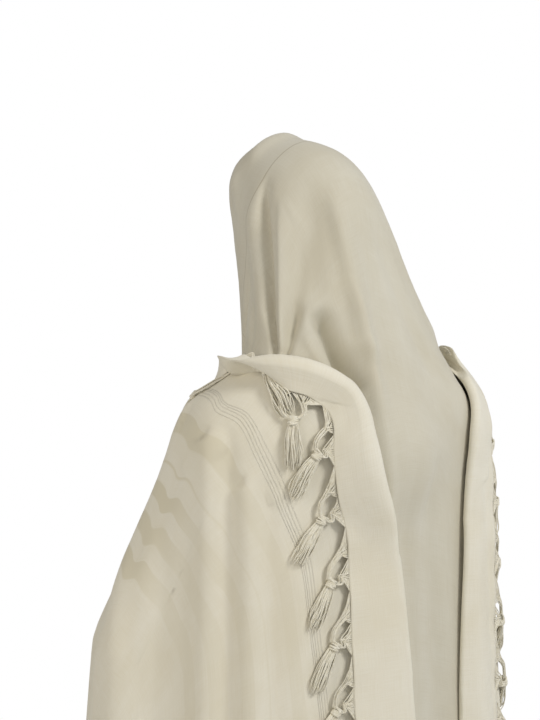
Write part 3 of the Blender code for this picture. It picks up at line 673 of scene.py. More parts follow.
@dataclass(frozen=True)
class WoolFinish:
    """Fine worsted wool, closely woven, with a slight slub and, near the fringe, woven cords and satin bars."""

    name: str = "worsted_wool"
    colour: str = "#EFEBDE"
    shade: str = "#E8E2D0"
    seam: float = 0.0
    # The satin bars' colour: darker than the wool, as painted shade for how satin reflects at this angle
    satin: str = "#E0D9C3"
    thread: float = 0.0011
    cord_middle: float = CORD_MIDDLE
    cord_gap: float = 0.0050
    cords: int = 5
    bars: tuple[tuple[float, float], ...] = (
        (0.180, 0.030), (0.242, 0.004), (BAR_MIDDLE, 0.024), (0.335, 0.026), (0.388, 0.028),
    )
    reach: float = 0.50

    def _bar_stops(self) -> list[tuple[float, float]]:
        """Ramp stops that are 1 across each satin bar."""
        soft = 0.0008
        stops: list[tuple[float, float]] = []
        for middle, width in self.bars:
            low, high = middle - width / 2, middle + width / 2
            stops += [(low - soft, 0.0), (low + soft, 1.0), (high - soft, 1.0), (high + soft, 0.0)]
        return [(place / self.reach, grey) for place, grey in stops]

    def build(self) -> bpy.types.Material:
        """Builds the material.

        Returns:
            A material that reads a UV map in metres: x from the inner fold of the end, y across the cloth.
        """
        nodes = NodeTree(self.name)
        place = nodes.add("UVMap", {"uv_map": "cloth"}).outputs[0]
        split = nodes.add("SeparateXYZ", n0=place)
        away, along = split.outputs[0], split.outputs[1]

        # Satin bars: woven across the whole cloth. Their darker colour is painted shade for how satin sends the
        # light away at this angle, and it is faded out across the width as painted light, plainest where the light
        # catches them
        scaled = nodes.add("Math", {"operation": "DIVIDE"}, n0=away, n1=self.reach).outputs[0]
        bars = nodes.ramp(scaled, self._bar_stops())
        satin_lit_fade = nodes.add("MapRange", {"interpolation_type": "SMOOTHSTEP"}, n0=along, n1=0.40, n2=0.52,
                         n3=1.0, n4=0.30).outputs[0]
        satin = nodes.add("Math", {"operation": "MULTIPLY"}, n0=bars, n1=satin_lit_fade).outputs[0]

        # Slub: uneven threads, long in both directions of the weave
        across = nodes.add("Mapping", n0=place, n3=(26.0, 900.0, 1.0))
        weft = nodes.add("TexNoise", {"noise_dimensions": "2D"}, n0=across.outputs[0], Scale=1.0, Detail=2.0)
        down = nodes.add("Mapping", n0=place, n3=(900.0, 20.0, 1.0))
        warp = nodes.add("TexNoise", {"noise_dimensions": "2D"}, n0=down.outputs[0], Scale=1.0, Detail=2.0)
        slub = nodes.add("Math", {"operation": "ADD"}, n0=weft.outputs[0], n1=warp.outputs[0]).outputs[0]
        broad = nodes.add("TexNoise", {"noise_dimensions": "2D"}, n0=place, Scale=9.0, Detail=3.0)
        tone = nodes.add("Math", {"operation": "MULTIPLY_ADD"}, n0=slub, n1=0.5, n2=broad.outputs[0])
        mixed = nodes.add("MapRange", n0=tone.outputs[0], n1=0.75, n2=1.3)
        plain = nodes.add("Mix", {"data_type": "RGBA"}, n0=mixed.outputs[0], n6=linear(self.shade),
                          n7=linear(self.colour)).outputs[2]
        # The satin bars' painted shade laid over the plain wool
        colour = nodes.add("Mix", {"data_type": "RGBA"}, n0=satin, n6=plain, n7=linear(self.satin)).outputs[2]
        if self.seam:
            # The shadow and the needle holes beside the band that is sewn on
            beside = nodes.add("Math", {"operation": "SUBTRACT"}, n0=along, n1=self.seam).outputs[0]
            gap = nodes.add("Math", {"operation": "ABSOLUTE"}, n0=beside).outputs[0]
            mark = nodes.add("MapRange", n0=gap, n1=0.0006, n2=0.0018, n3=0.42, n4=0.0).outputs[0]
            colour = nodes.add("Mix", {"data_type": "RGBA"}, n0=mark, n6=colour, n7=linear("#8E8263")).outputs[2]
        nodes.feed(nodes.shader, "Base Color", colour)
        rough = nodes.add("MapRange", n0=satin, n1=0.0, n2=1.0, n3=0.82, n4=0.52).outputs[0]
        nodes.feed(nodes.shader, "Roughness", rough)

        # Plain weave: threads over and under
        weave = nodes.add("Mapping", n0=place, n3=(1 / self.thread, 1 / self.thread, 1.0))
        threads = nodes.add("TexMagic", {"turbulence_depth": 0}, n0=weave.outputs[0], n1=1.0, n2=0.0)
        fine = nodes.add("Bump", Strength=0.35, Distance=0.0002, Height=threads.outputs[1])
        streak = nodes.add("Bump", Strength=0.5, Distance=0.00035, Height=slub, Normal=fine.outputs[0])

        # Woven cords: fine raised lines, side by side
        shifted = nodes.add("Math", {"operation": "SUBTRACT"}, n0=away,
                            n1=self.cord_middle - self.cord_gap * (self.cords - 1) / 2 - self.cord_gap / 2)
        turn = nodes.add("Math", {"operation": "MULTIPLY"}, n0=shifted.outputs[0], n1=2 * math.pi / self.cord_gap)
        wave = nodes.add("Math", {"operation": "COSINE"}, n0=turn.outputs[0])
        crest = nodes.add("MapRange", n0=wave.outputs[0], n1=-0.55, n2=-1.0, n3=0.0, n4=1.0)
        low = nodes.add("Math", {"operation": "GREATER_THAN"}, n0=shifted.outputs[0], n1=0.0)
        high = nodes.add("Math", {"operation": "LESS_THAN"}, n0=shifted.outputs[0], n1=self.cord_gap * self.cords)
        within = nodes.add("Math", {"operation": "MULTIPLY"}, n0=low.outputs[0], n1=high.outputs[0])
        cords = nodes.add("Math", {"operation": "MULTIPLY"}, n0=crest.outputs[0], n1=within.outputs[0])
        raised = nodes.add("Bump", Strength=1.0, Distance=0.0007, Height=cords.outputs[0],
                           Normal=streak.outputs[0])
        nodes.feed(nodes.shader, "Normal", raised.outputs[0])
        nodes.shader.inputs["Sheen Weight"].default_value = 0.25
        nodes.shader.inputs["Sheen Roughness"].default_value = 0.5
        nodes.shader.inputs["Specular IOR Level"].default_value = 0.25
        return nodes.material


@dataclass(frozen=True)
class BandFinish:
    """Ribbed satin of rayon: fine ribs that run the length of the band, glossier on their crests, with painted
    shade in the grooves between them.
    """

    name: str = "ribbed_satin"
    colour: str = "#E0D8BC"
    # The colour between the ribs: painted shade in the grooves
    groove_shade: str = "#BFB48F"
    rib: float = 0.0062

    def build(self) -> bpy.types.Material:
        """Builds the material.

        Returns:
            A material that reads the band's UV map in metres: y across the band.
        """
        nodes = NodeTree(self.name)
        place = nodes.add("UVMap", {"uv_map": "cloth"}).outputs[0]
        split = nodes.add("SeparateXYZ", n0=place)
        wander = nodes.add("TexNoise", {"noise_dimensions": "2D"}, n0=place, Scale=14.0, Detail=1.0)
        lean = nodes.add("Math", {"operation": "MULTIPLY_ADD"}, n0=wander.outputs[0], n1=0.0016,
                         n2=split.outputs[1])
        turn = nodes.add("Math", {"operation": "MULTIPLY"}, n0=lean.outputs[0], n1=2 * math.pi / self.rib)
        wave = nodes.add("Math", {"operation": "SINE"}, n0=turn.outputs[0])
        ribs = nodes.add("MapRange", {"interpolation_type": "SMOOTHSTEP"}, n0=wave.outputs[0], n1=-1.0, n2=0.4)
        # Painted shade: the grooves between the ribs darker than their crests
        colour = nodes.add("Mix", {"data_type": "RGBA"}, n0=ribs.outputs[0], n6=linear(self.groove_shade),
                           n7=linear(self.colour)).outputs[2]
        nodes.feed(nodes.shader, "Base Color", colour)
        rough = nodes.add("MapRange", n0=ribs.outputs[0], n3=0.7, n4=0.46).outputs[0]
        nodes.feed(nodes.shader, "Roughness", rough)
        along = nodes.add("Mapping", n0=place, n3=(1900.0, 60.0, 1.0))
        thread = nodes.add("TexNoise", {"noise_dimensions": "2D"}, n0=along.outputs[0], Scale=1.0)
        fine = nodes.add("Bump", Strength=0.25, Distance=0.0002, Height=thread.outputs[0])
        raised = nodes.add("Bump", Strength=0.6, Distance=0.0004, Height=ribs.outputs[0], Normal=fine.outputs[0])
        nodes.feed(nodes.shader, "Normal", raised.outputs[0])
        nodes.shader.inputs["Sheen Weight"].default_value = 0.15
        nodes.shader.inputs["Specular IOR Level"].default_value = 0.4
        return nodes.material


@dataclass(frozen=True)
class YarnFinish:
    """Plied wool yarn, softly spun: twisted strands with loose fibres."""

    name: str
    colour: str
    shade: str
    twist: float = 0.0035

    def build(self) -> bpy.types.Material:
        """Builds the material.

        Returns:
            A material that reads object coordinates.
        """
        nodes = NodeTree(self.name)
        place = nodes.add("TexCoord").outputs["Object"]
        mottle = nodes.add("TexNoise", n0=place, Scale=230.0, Detail=3.0)
        fibre = nodes.add("TexNoise", n0=place, Scale=1500.0, Detail=2.0, Distortion=0.6)
        factor = nodes.add("MapRange", n0=mottle.outputs[0], n1=0.35, n2=0.65)
        colour = nodes.add("Mix", {"data_type": "RGBA"}, n0=factor.outputs[0], n6=linear(self.shade),
                           n7=linear(self.colour)).outputs[2]
        nodes.feed(nodes.shader, "Base Color", colour)
        ply = nodes.add("TexWave", {"bands_direction": "DIAGONAL"}, n0=place, Scale=1 / (self.twist * 6.28),
                        Distortion=2.0, Detail=1.0)
        bumped = nodes.add("Bump", Strength=0.5, Distance=0.0005, Height=ply.outputs[1])
        rough = nodes.add("Bump", Strength=0.7, Distance=0.0004, Height=fibre.outputs[0], Normal=bumped.outputs[0])
        nodes.feed(nodes.shader, "Normal", rough.outputs[0])
        nodes.shader.inputs["Roughness"].default_value = 0.92
        nodes.shader.inputs["Sheen Weight"].default_value = 0.35
        nodes.shader.inputs["Specular IOR Level"].default_value = 0.15
        return nodes.material


@dataclass(frozen=True)
class FloorFinish:
    """Matt white studio floor, faintly uneven."""

    name: str = "matt_studio_floor"
    colour: str = "#F4F3F0"

    def build(self) -> bpy.types.Material:
        """Builds the material."""
        nodes = NodeTree(self.name)
        place = nodes.add("TexCoord").outputs["Object"]
        grain = nodes.add("TexNoise", n0=place, Scale=40.0, Detail=3.0)
        relief = nodes.add("Bump", Strength=0.05, Distance=0.001, Height=grain.outputs[0])
        nodes.feed(nodes.shader, "Normal", relief.outputs[0])
        nodes.shader.inputs["Base Color"].default_value = linear(self.colour)
        nodes.shader.inputs["Roughness"].default_value = 0.9
        return nodes.material


@dataclass
class Finishes:
    """Every material of the tallit."""

    wool: bpy.types.Material = field(default_factory=lambda: WoolFinish().build())
    # Painted shade: one layer alone lets a little of the dark behind it through, so the single layer's colours are
    # painted greyer than the doubled ends'
    single: bpy.types.Material = field(
        default_factory=lambda: WoolFinish("worsted_wool_one_layer_shaded", "#DAD6C8", "#D2CCBA", 0.1012).build())
    band: bpy.types.Material = field(default_factory=lambda: BandFinish().build())
    fringe: bpy.types.Material = field(
        default_factory=lambda: YarnFinish("soft_wool_yarn", "#F3EFE2", "#E9E3D0").build())
    tassel: bpy.types.Material = field(
        default_factory=lambda: YarnFinish("twisted_wool_cord", "#F0EBDC", "#E4DCC6", 0.0024).build())
    thread: bpy.types.Material = field(
        default_factory=lambda: YarnFinish("sewing_thread", "#DDD4B8", "#CFC5A4", 0.001).build())


@dataclass(frozen=True)
class Strand:
    """A yarn: the points that it runs through, and its radius at each."""

    points: np.ndarray
    radii: np.ndarray


def link_object(name: str, mesh: bpy.types.Mesh, material: bpy.types.Material) -> bpy.types.Object:
    """An object from a mesh, in the scene, with its material and smooth shading."""
    mesh.materials.clear()
    mesh.materials.append(material)
    mesh.shade_smooth()
    item = bpy.data.objects.new(name, mesh)
    bpy.context.scene.collection.objects.link(item)
    return item


def cloth_object(name: str, net: np.ndarray, place: np.ndarray, material: bpy.types.Material,
                 shell: float = SHELL) -> bpy.types.Object:
    """A sheet of cloth from a net.

    Args:
        name: The piece's name.
        net: Points by row and column, rows along the width of the cloth.
        place: Where each point lies in the flat cloth, in metres.
        material: Its finish.
        shell: Its thickness.

    Returns:
        The object.
    """
    rows, columns = net.shape[:2]
    form = bmesh.new()
    bmesh.ops.create_grid(form, x_segments=columns - 1, y_segments=rows - 1, size=0.5)
    form.verts.ensure_lookup_table()
    for index, vert in enumerate(form.verts):
        vert.co = net[index // columns, index % columns]
    layer = form.loops.layers.uv.new("cloth")
    for face in form.faces:
        for loop in face.loops:
            index = loop.vert.index
            loop[layer].uv = place[index // columns, index % columns]
    mesh = bpy.data.meshes.new(name)
    form.to_mesh(mesh)
    form.free()
    item = link_object(name, mesh, material)
    wall = item.modifiers.new("Wall", "SOLIDIFY")
    wall.thickness = shell
    wall.offset = 0.0
    return item


def yarn_object(name: str, strands: Sequence[Strand], material: bpy.types.Material,
                sides: int = 1) -> bpy.types.Object:
    """Yarns as round tubes, in one mesh.

    Args:
        name: The piece's name.
        strands: The yarns.
        material: Their finish.
        sides: The bevel resolution of the tubes: 0 gives four sides, 1 gives six.

    Returns:
        The object.
    """
    curve = bpy.data.curves.new(name, "CURVE")
    curve.dimensions = "3D"
    curve.bevel_depth = 1.0
    curve.bevel_resolution = sides
    curve.use_fill_caps = True
    for strand in strands:
        line = curve.splines.new("POLY")
        line.points.add(len(strand.points) - 1)
        line.points.foreach_set("co", np.column_stack([strand.points, np.ones(len(strand.points))]).ravel())
        line.points.foreach_set("radius", np.broadcast_to(strand.radii, len(strand.points)).astype(float))
    holder = bpy.data.objects.new(name + "_path", curve)
    bpy.context.scene.collection.objects.link(holder)
    bpy.context.view_layer.update()
    drawn = holder.evaluated_get(bpy.context.evaluated_depsgraph_get())
    mesh = bpy.data.meshes.new_from_object(drawn)
    mesh.name = name
    bpy.data.objects.remove(holder)
    return link_object(name, mesh, material)


def dress(item: bpy.types.Object, slot: str, *nodes: str) -> None:
    """Puts a piece on the frame.

    Args:
        item: The piece.
        slot: Not used.
        nodes: The CAD nodes that it stands for.
    """
    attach(item, "root")
    if nodes:
        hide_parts(*nodes)
    faces = len(item.data.polygons)
    LOG.info("%s: %d faces before its wall, for %s", item.name, faces, ", ".join(nodes) or "no node")


@dataclass
class BodyCloth:
    """The middle of the cloth, from the fold at one hand over the head to the fold at the other."""

    drape: Drape
    half_columns: int = 118
    rows: np.ndarray = field(default_factory=lambda: cloth_rows(((0.10, 24), (0.62, 110), (0.90, 24), (1.40, 30))))
    half: np.ndarray = field(init=False)
    net: np.ndarray = field(init=False)

    def __post_init__(self) -> None:
        """Lays the net."""
        shares = np.linspace(0, 1, self.half_columns)
        plain = section_net(BODY_SECTIONS, self.rows, shares)
        self.half = self.drape.figure.settle(plain.reshape(-1, 3), 0.0).reshape(plain.shape)
        both = np.concatenate([mirrored(self.half)[:, :-1], self.half], axis=1)
        share = np.concatenate([shares[::-1][:-1], shares])
        self.net = self.drape.lay_net(both, 0.0, 1 - smooth_step(share, 0.92, 1.0))

    def place(self) -> np.ndarray:
        """Where each point lies in the flat cloth: away from the striped ends, and across the width."""
        middle = self.half_columns - 1
        steps = lengths(np.diff(self.net, axis=1))
        run = np.concatenate([np.zeros((len(self.rows), 1)), np.cumsum(steps, axis=1)], axis=1)
        run = 3.0 + run - run[:, middle:middle + 1]
        return np.stack([run, np.broadcast_to(self.rows[:, None], run.shape)], axis=2)

    def build(self, finishes: Finishes) -> bpy.types.Object:
        """Builds the cloth.

        Args:
            finishes: The materials.

        Returns:
            The piece.
        """
        item = cloth_object("body_cloth_draped", self.net, self.place(), finishes.single)
        dress(item, "wool", "body_cloth")
        return item


@dataclass
class NeckBand:
    """The ribbed band sewn along the edge over the forehead, and its rows of stitches."""

    body: BodyCloth
    depth: float = 0.10
    wall: float = 0.0010
    share: float = 10 / 21
    pitch: float = 0.0040
    stitch: float = 0.0026
    thread: float = 0.00022

    def _net(self) -> tuple[np.ndarray, np.ndarray]:
        """The band's net on the cloth, and its place in the flat band."""
        middle = self.body.half_columns - 1
        reach = round(middle * self.share)
        last = int(np.searchsorted(self.body.rows, self.depth + 1e-6))
        pick = (slice(0, last), slice(middle - reach, middle + reach + 1))
        lift = SHELL / 2 + SEAM_GAP + self.wall / 2
        net = self.body.net[pick] + net_normals(self.body.net)[pick] * lift
        return net, self.body.place()[pick]

    def _stitches(self, net: np.ndarray, row: float) -> list[Strand]:
        """A row of stitches along the band.

        Args:
            net: The band's net.
            row: How far from the face edge, in rows.

        Returns:
            One short yarn a stitch.
        """
        low = int(row)
        line = net[low] * (1 - row + low) + net[low + 1] * (row - low)
        out = net_normals(net)[low]
        steps = np.concatenate([[0], np.cumsum(lengths(np.diff(line, axis=0)))])
        strands = []
        for start in np.arange(0.004, steps[-1] - 0.006, self.pitch):
            places = start + self.stitch * np.linspace(0, 1, 4)
            points = np.array([[np.interp(at, steps, line[:, axis]) for axis in range(3)] for at in places])
            normal = np.array([[np.interp(at, steps, out[:, axis]) for axis in range(3)] for at in places])
            height = self.wall / 2 + np.array((-0.0002, 0.0001, 0.0001, -0.0002))
            strands.append(Strand(points + normal * height[:, None], np.full(4, self.thread)))
        return strands

    def build(self, finishes: Finishes) -> bpy.types.Object:
        """Builds the band and its stitches.

        Args:
            finishes: The materials.

        Returns:
            The band.
        """
        net, place = self._net()
        item = cloth_object("neckband_ribbed", net, place, finishes.band, self.wall)
        smooth = item.modifiers.new("Round", "SUBSURF")
        smooth.levels = smooth.render_levels = 1
        dress(item, "band", "neckband")
        rows = len(net)
        strands = self._stitches(net, 0.7) + self._stitches(net, rows - 1.7)
        sewing = yarn_object("neckband_stitches", strands, finishes.thread, 0)
        dress(sewing, "band")
        return item


@dataclass
class TurnedEnd:
    """One end of the cloth: from the fold at the hand up over the shoulder, and the strip turned back."""

    side: Side
    body: BodyCloth
    drape: Drape
    sections: tuple[Section, ...]
    standoff: float = 0.011
    strip_rise: float = 0.011
    fold_radius: float = 0.009
    columns: int = 112
    strip_columns: int = 22
    bend_steps: int = 10
    scallop: float = 0.0025
    locks: int = 16
    lobe_standoff: float = 0.011
    flush: tuple[float, ...] = (0.10, 0.20, 0.31, 0.42)
    sunk: float = 0.86
    roll_share: float = 1.0
    straightening: int = 20
    rises: np.ndarray = field(init=False)
    net: np.ndarray = field(init=False)
    away: np.ndarray = field(init=False)
    lobe_column: int = field(init=False)

    def __post_init__(self) -> None:
        """Lays the net from the fringed edge, round the inner fold and over the shoulder, to the body."""
        rows = self.body.rows
        # The strip lies nearly flush where it crosses the top of the shoulder
        top = smooth_step(rows, *self.flush[:2]) - smooth_step(rows, *self.flush[2:])
        self.rises = self.strip_rise * (1 - self.sunk * top)
        fold, beside = self.body.half[:, -1], self.body.half[:, -2]
        radius = np.full(len(rows), self.fold_radius)
        round_fold = self.drape.bend(fold, self.drape.beyond(fold, beside), 0.0, radius, self.bend_steps, 0.0)
        sections = [Section(row.along, row.points + (self._turn(row.along),)) for row in self.sections]
        shares = np.linspace(0, 1, self.columns)
        plain = section_net(sections, rows, shares)
        plain = self.drape.figure.settle(plain.reshape(-1, 3), 0.0).reshape(plain.shape)
        level = self.lobe_standoff + (self.standoff - self.lobe_standoff) * smooth_step(shares, 0.0, 0.2)
        level = level + (2 * self.fold_radius - self.standoff) * shares ** 2
        laid = self.drape.lay_net(plain, level, 1 - smooth_step(shares, 0.86, 1.0))
        strip = self._strip(plain, rows)
        throw = [laid[:, k] for k in range(self.columns - 1)]
        self.net = np.stack(strip[::-1] + throw + round_fold[::-1], axis=1)
        self.lobe_column = len(strip)
        steps = lengths(np.diff(self.net, axis=1))
        steps[:, self.lobe_column:self.lobe_column + self.columns - 1] = lengths(np.diff(plain, axis=1))
        run = np.concatenate([np.zeros((len(rows), 1)), np.cumsum(steps, axis=1)], axis=1)
        self.away = run - run[:, self.lobe_column:self.lobe_column + 1]

    def _turn(self, along: float) -> Point:
        """Where the body's cloth turns, at one distance along its width."""
        knots = [row.along for row in BODY_SECTIONS]
        return tuple(spline(knots, [row.points[-1] for row in BODY_SECTIONS], np.array((along,)))[0])

    def _strip(self, plain: np.ndarray, rows: np.ndarray) -> list[np.ndarray]:
        """The strip turned back, from the inner fold out to its fringed edge.

        Args:
            plain: The end's net on the plain figure.
            rows: Distances along the width of the cloth.

        Returns:
            Its columns.
        """
        lobe = plain[:, 0]
        outward = self.drape.beyond(lobe, plain[:, 1])
        stations = [row.along for row in STRIP_SECTIONS]
        width = spline(stations, [row.width for row in STRIP_SECTIONS], rows)
        roll = spline(stations, [row.roll for row in STRIP_SECTIONS], rows)[:, 0] * self.roll_share
        columns = self.drape.bend(lobe, outward, self.lobe_standoff, roll, self.bend_steps, 1.0)[1:]
        pull = 0.5 - 0.5 * np.cos(2 * math.pi * self.locks * self._edge_share(lobe))
        for share in np.linspace(0, 1, self.strip_columns + 1)[1:]:
            lift = self.lobe_standoff + (self.standoff - self.lobe_standoff) * share
            lift = lift + 2 * roll * (1 - share) + self.rises * share
            lift = lift + self.scallop * (0.6 - pull) * smooth_step(share, 0.45, 1.0)
            columns.append(self.drape.lay(lobe - outward * width * share, lift))
        return columns

    @staticmethod
    def _edge_share(line: np.ndarray) -> np.ndarray:
        """How far along a line each of its points lies, from 0 to 1."""
        steps = np.concatenate([[0], np.cumsum(lengths(np.diff(line, axis=0)))])
        return steps / steps[-1]

    def place(self) -> np.ndarray:
        """Where each point lies in the flat cloth, with the woven stripes kept straight."""
        places = np.array(STRIPE_PLACES)
        lines = spline(places[:, 0], places[:, 1:], self.body.rows)
        for _ in range(self.straightening):
            lines[1:-1] = (lines[:-2] + 2 * lines[1:-1] + lines[2:]) / 4
        cords, bars = lines.T
        run = np.array([
            np.interp(away, (-1, 0, cord, bar, bar + 1), (-1, 0, CORD_MIDDLE, BAR_MIDDLE, BAR_MIDDLE + 1))
            for away, cord, bar in zip(self.away, cords, bars)
        ])
        return np.stack([run, np.broadcast_to(self.body.rows[:, None], run.shape)], axis=2)

    def build(self, finishes: Finishes) -> bpy.types.Object:
        """Builds the end.

        Args:
            finishes: The materials.

        Returns:
            The piece.
        """
        net, place = self.net, self.place()
        if self.side is Side.RIGHT:
            net, place = mirrored(net), place[:, ::-1]
        name = self.side.value + "_end_draped"
        item = cloth_object(name, net, place, finishes.wool)
        dress(item, "wool", self.side.value + "_throw", self.side.value + "_turned_edge")
        return item


@dataclass
class Fringe:
    """Knotted locks along the fringed edge: two combed legs round a small hole, a knot and a thick soft tuft."""

    end: TurnedEnd
    knot_depth: float = 0.036
    waist_depth: float = 0.014
    tuft_length: float = 0.062
    droop: float = 1.2
    lift: float = 0.0085
    comb: int = 16
    tuft: int = 60
    yarn: float = 0.0009
    leg: tuple[float, float] = (0.0042, 0.0018)
    full: tuple[float, float] = (0.0046, 0.0082)
    steps: int = 11
    seed: int = SEED
    edge: np.ndarray = field(init=False)
    away: np.ndarray = field(init=False)
    run: np.ndarray = field(init=False)

    def __post_init__(self) -> None:
        """Reads the fringed edge, the direction off it at each point, and the distance along it."""
        self.edge = self.end.net[:, 0]
        self.away = self.end.drape.beyond(self.edge, self.end.net[:, 1])
        self.run = np.concatenate([[0], np.cumsum(lengths(np.diff(self.edge, axis=0)))])

    def _read(self, values: np.ndarray, along: float) -> np.ndarray:
        """Values of the edge's points, read at a distance along it."""
        return np.array([np.interp(along, self.run, values[:, axis]) for axis in range(3)])

    def _curve(self, points: Sequence, heights: Sequence[float]) -> tuple[np.ndarray, np.ndarray]:
        """A smooth yarn through a few points, with its height above the end's own cloth."""
        knots, places = range(len(points)), np.linspace(0, len(points) - 1, self.steps)
        return spline(knots, points, places), spline(knots, heights, places)[:, 0]

    def _heights(self, along: float) -> tuple[float, float]:
        """How high the strip's edge and the knots lie above the end's own cloth, at a distance along the edge."""
        height = float(np.interp(along, self.run, self.end.rises))
        return height, min(self.lift, height + 0.001)

    def _legs(self, middle: float, off: np.ndarray, knot: np.ndarray, side: np.ndarray,
              draw: np.random.Generator) -> list[tuple[np.ndarray, np.ndarray]]:
        """Two legs, combed from the edge and gathered at the knot.

        Args:
            middle: The lock's place along the edge.
            off: The direction off the edge.
            knot: Where the legs meet.
            side: The direction across the lock.
            draw: Where the unevenness comes from.

        Returns:
            Yarns with their heights.
        """
        spacing = self.run[-1] / self.end.locks
        lines = []
        for bunch in (-1, 1):
            waist = self._read(self.edge, middle + bunch * spacing * 0.17)
            waist = waist + unit(off + DOWN * 0.7) * self.waist_depth
            for strand in range(self.comb):
                share = strand / (self.comb - 1) - 0.5
                start = self._read(self.edge, middle + spacing * (bunch * 0.25 + share * 0.48))
                turn = draw.uniform(0, 2 * math.pi)
                reach = math.sqrt(draw.uniform(0, 1))
                aside = side * (math.cos(turn) * reach * self.leg[0])
                rise = math.sin(turn) * reach * self.leg[1]
                narrow = knot + side * bunch * 0.0085 + (waist - knot) * 0.42
                height, low = self._heights(middle)
                lines.append(self._curve(
                    (start, start * 0.5 + (waist + aside) * 0.5, waist + aside, narrow + aside * 0.8,
                     knot + side * bunch * 0.0016 + aside * 0.7),
                    (height - 0.0004, height - 0.0010 + rise * 0.4, low + rise, low + 0.0008 + rise,
                     low + 0.0012 + rise)))
        return lines

    def _tuft(self, knot: np.ndarray, hang: np.ndarray, side: np.ndarray, low: float,
              draw: np.random.Generator) -> list[tuple[np.ndarray, np.ndarray]]:
        """The loose tuft below the knot, soft and uneven, fuller in its middle.

        Args:
            knot: Where it starts.
            hang: The way that it hangs.
            side: The direction across it.
            low: The height of its knot.
            draw: Where the unevenness comes from.

        Returns:
            Yarns with their heights.
        """
        swing = draw.normal(0, 0.004)
        share = np.linspace(0, 1, self.steps)
        lines = []
        for _ in range(self.tuft):
            turn = draw.uniform(0, 2 * math.pi)
            reach = math.sqrt(draw.uniform(0, 1))
            long = self.tuft_length * draw.uniform(0.78, 1.05)
            full = self.full[0] + self.full[1] * np.sin(math.pi * np.clip(share * 0.7, 0, 1)) ** 1.2
            curl = 0.0013 * np.sin(share * draw.uniform(4, 10) + turn)
            across = math.cos(turn) * reach * full + curl + swing * share ** 2
            rise = (math.sin(turn) * reach * full * 0.55 + 0.0008 * np.cos(share * 8 + turn)) * low / self.lift
            points = knot + hang * (0.003 + share[:, None] * long) + side * across[:, None]
            lines.append((points, np.maximum(low + rise - 0.002 * share, 0.0022)))
        return lines

    def _knot(self, middle: np.ndarray, hang: np.ndarray, side: np.ndarray,
              draw: np.random.Generator) -> list[Strand]:
        """Turns of yarn round the place where the legs meet."""
        out = unit(np.cross(side, hang))
        out = out * np.sign(out @ self.end.drape.figure.outward(middle[None])[0])
        strands = []
        for turn in range(6):
            tilt = draw.uniform(-0.6, 0.6)
            centre = middle + hang * (turn - 2.5) * 0.0019
            angle = np.linspace(0, 2 * math.pi, 13)[:, None]
            wide, deep = 0.0060 + 0.0008 * math.cos(turn * 1.7), 0.0044
            ring = (side * np.cos(angle) + hang * tilt * 0.5 * np.cos(angle)) * wide + out * np.sin(angle) * deep
            strands.append(Strand(centre + ring, np.full(13, 0.0015)))
        return strands

    def _lock(self, number: int, draw: np.random.Generator) -> list[Strand]:
        """One lock.

        Args:
            number: Its place along the edge.
            draw: Where its unevenness comes from.

        Returns:
            Its yarns.
        """
        middle = (number + 0.5) * self.run[-1] / self.end.locks
        root, off = self._read(self.edge, middle), unit(self._read(self.away, middle))
        # Over the top of the shoulder the tufts fall to the front
        forward = np.array((0.0, -1.0, 0.0)) * 1.6 * math.exp(-((root[1] - 0.01) / 0.05) ** 2) * (root[2] > -0.45)
        knot = root + unit(off + DOWN * self.droop + forward) * self.knot_depth * draw.uniform(0.92, 1.08)
        slope = self.end.drape.figure.outward(knot[None])[0]
        hang = off * draw.uniform(0.35, 0.9) + DOWN + forward
        hang = unit(hang - slope * (hang @ slope))
        side = unit(np.cross(hang, slope))
        if side @ (self._read(self.edge, middle + 0.01) - root) < 0:
            side = -side
        low = self._heights(middle)[1]
        lines = self._legs(middle, off, knot, side, draw) + self._tuft(knot, hang, side, low, draw)
        heights = np.concatenate([height for _, height in lines])
        flat = np.concatenate([points for points, _ in lines])
        laid = self.end.drape.lay(flat, self.end.standoff + heights).reshape(len(lines), self.steps, 3)
        thin = self.yarn * np.array((1, 1, 1.05, 1.1, 1.1, 1.1, 1.1, 1, 0.9, 0.8, 0.5))
        strands = [Strand(line, np.full(self.steps, self.yarn)) for line in laid[:2 * self.comb]]
        strands += [Strand(line, thin * draw.uniform(0.85, 1.25)) for line in laid[2 * self.comb:]]
        # The yarns hidden inside the tuft, as one soft core
        core = np.array((0.4, 0.6, 0.8, 0.9, 1.0, 1.0, 1.0, 0.9, 0.8, 0.6, 0.3)) * self.full[0] * 0.75
        inner = laid[2 * self.comb:].mean(axis=0)
        strands += [Strand(inner + side * shift * core[:, None], core) for shift in (-1.0, 0.0, 1.0)]
        top = laid[2 * self.comb:, 0].mean(axis=0) - hang * 0.002
        return strands + self._knot(top, hang, side, draw)

    def build(self, finishes: Finishes) -> bpy.types.Object:
        """Builds the fringe.

        Args:
            finishes: The materials.

        Returns:
            The piece.
        """
        draw = np.random.default_rng(self.seed + (self.end.side is Side.RIGHT))
        strands: list[Strand] = []
        for number in range(self.end.locks):
            strands += self._lock(number, draw)
        if self.end.side is Side.RIGHT:
            strands = [Strand(strand.points * MIRROR, strand.radii) for strand in strands]
        name = self.end.side.value + "_fringe_knotted"
        item = yarn_object(name, strands, finishes.fringe, 0)
        dress(item, "yarn", self.end.side.value + "_fringe")
        return item


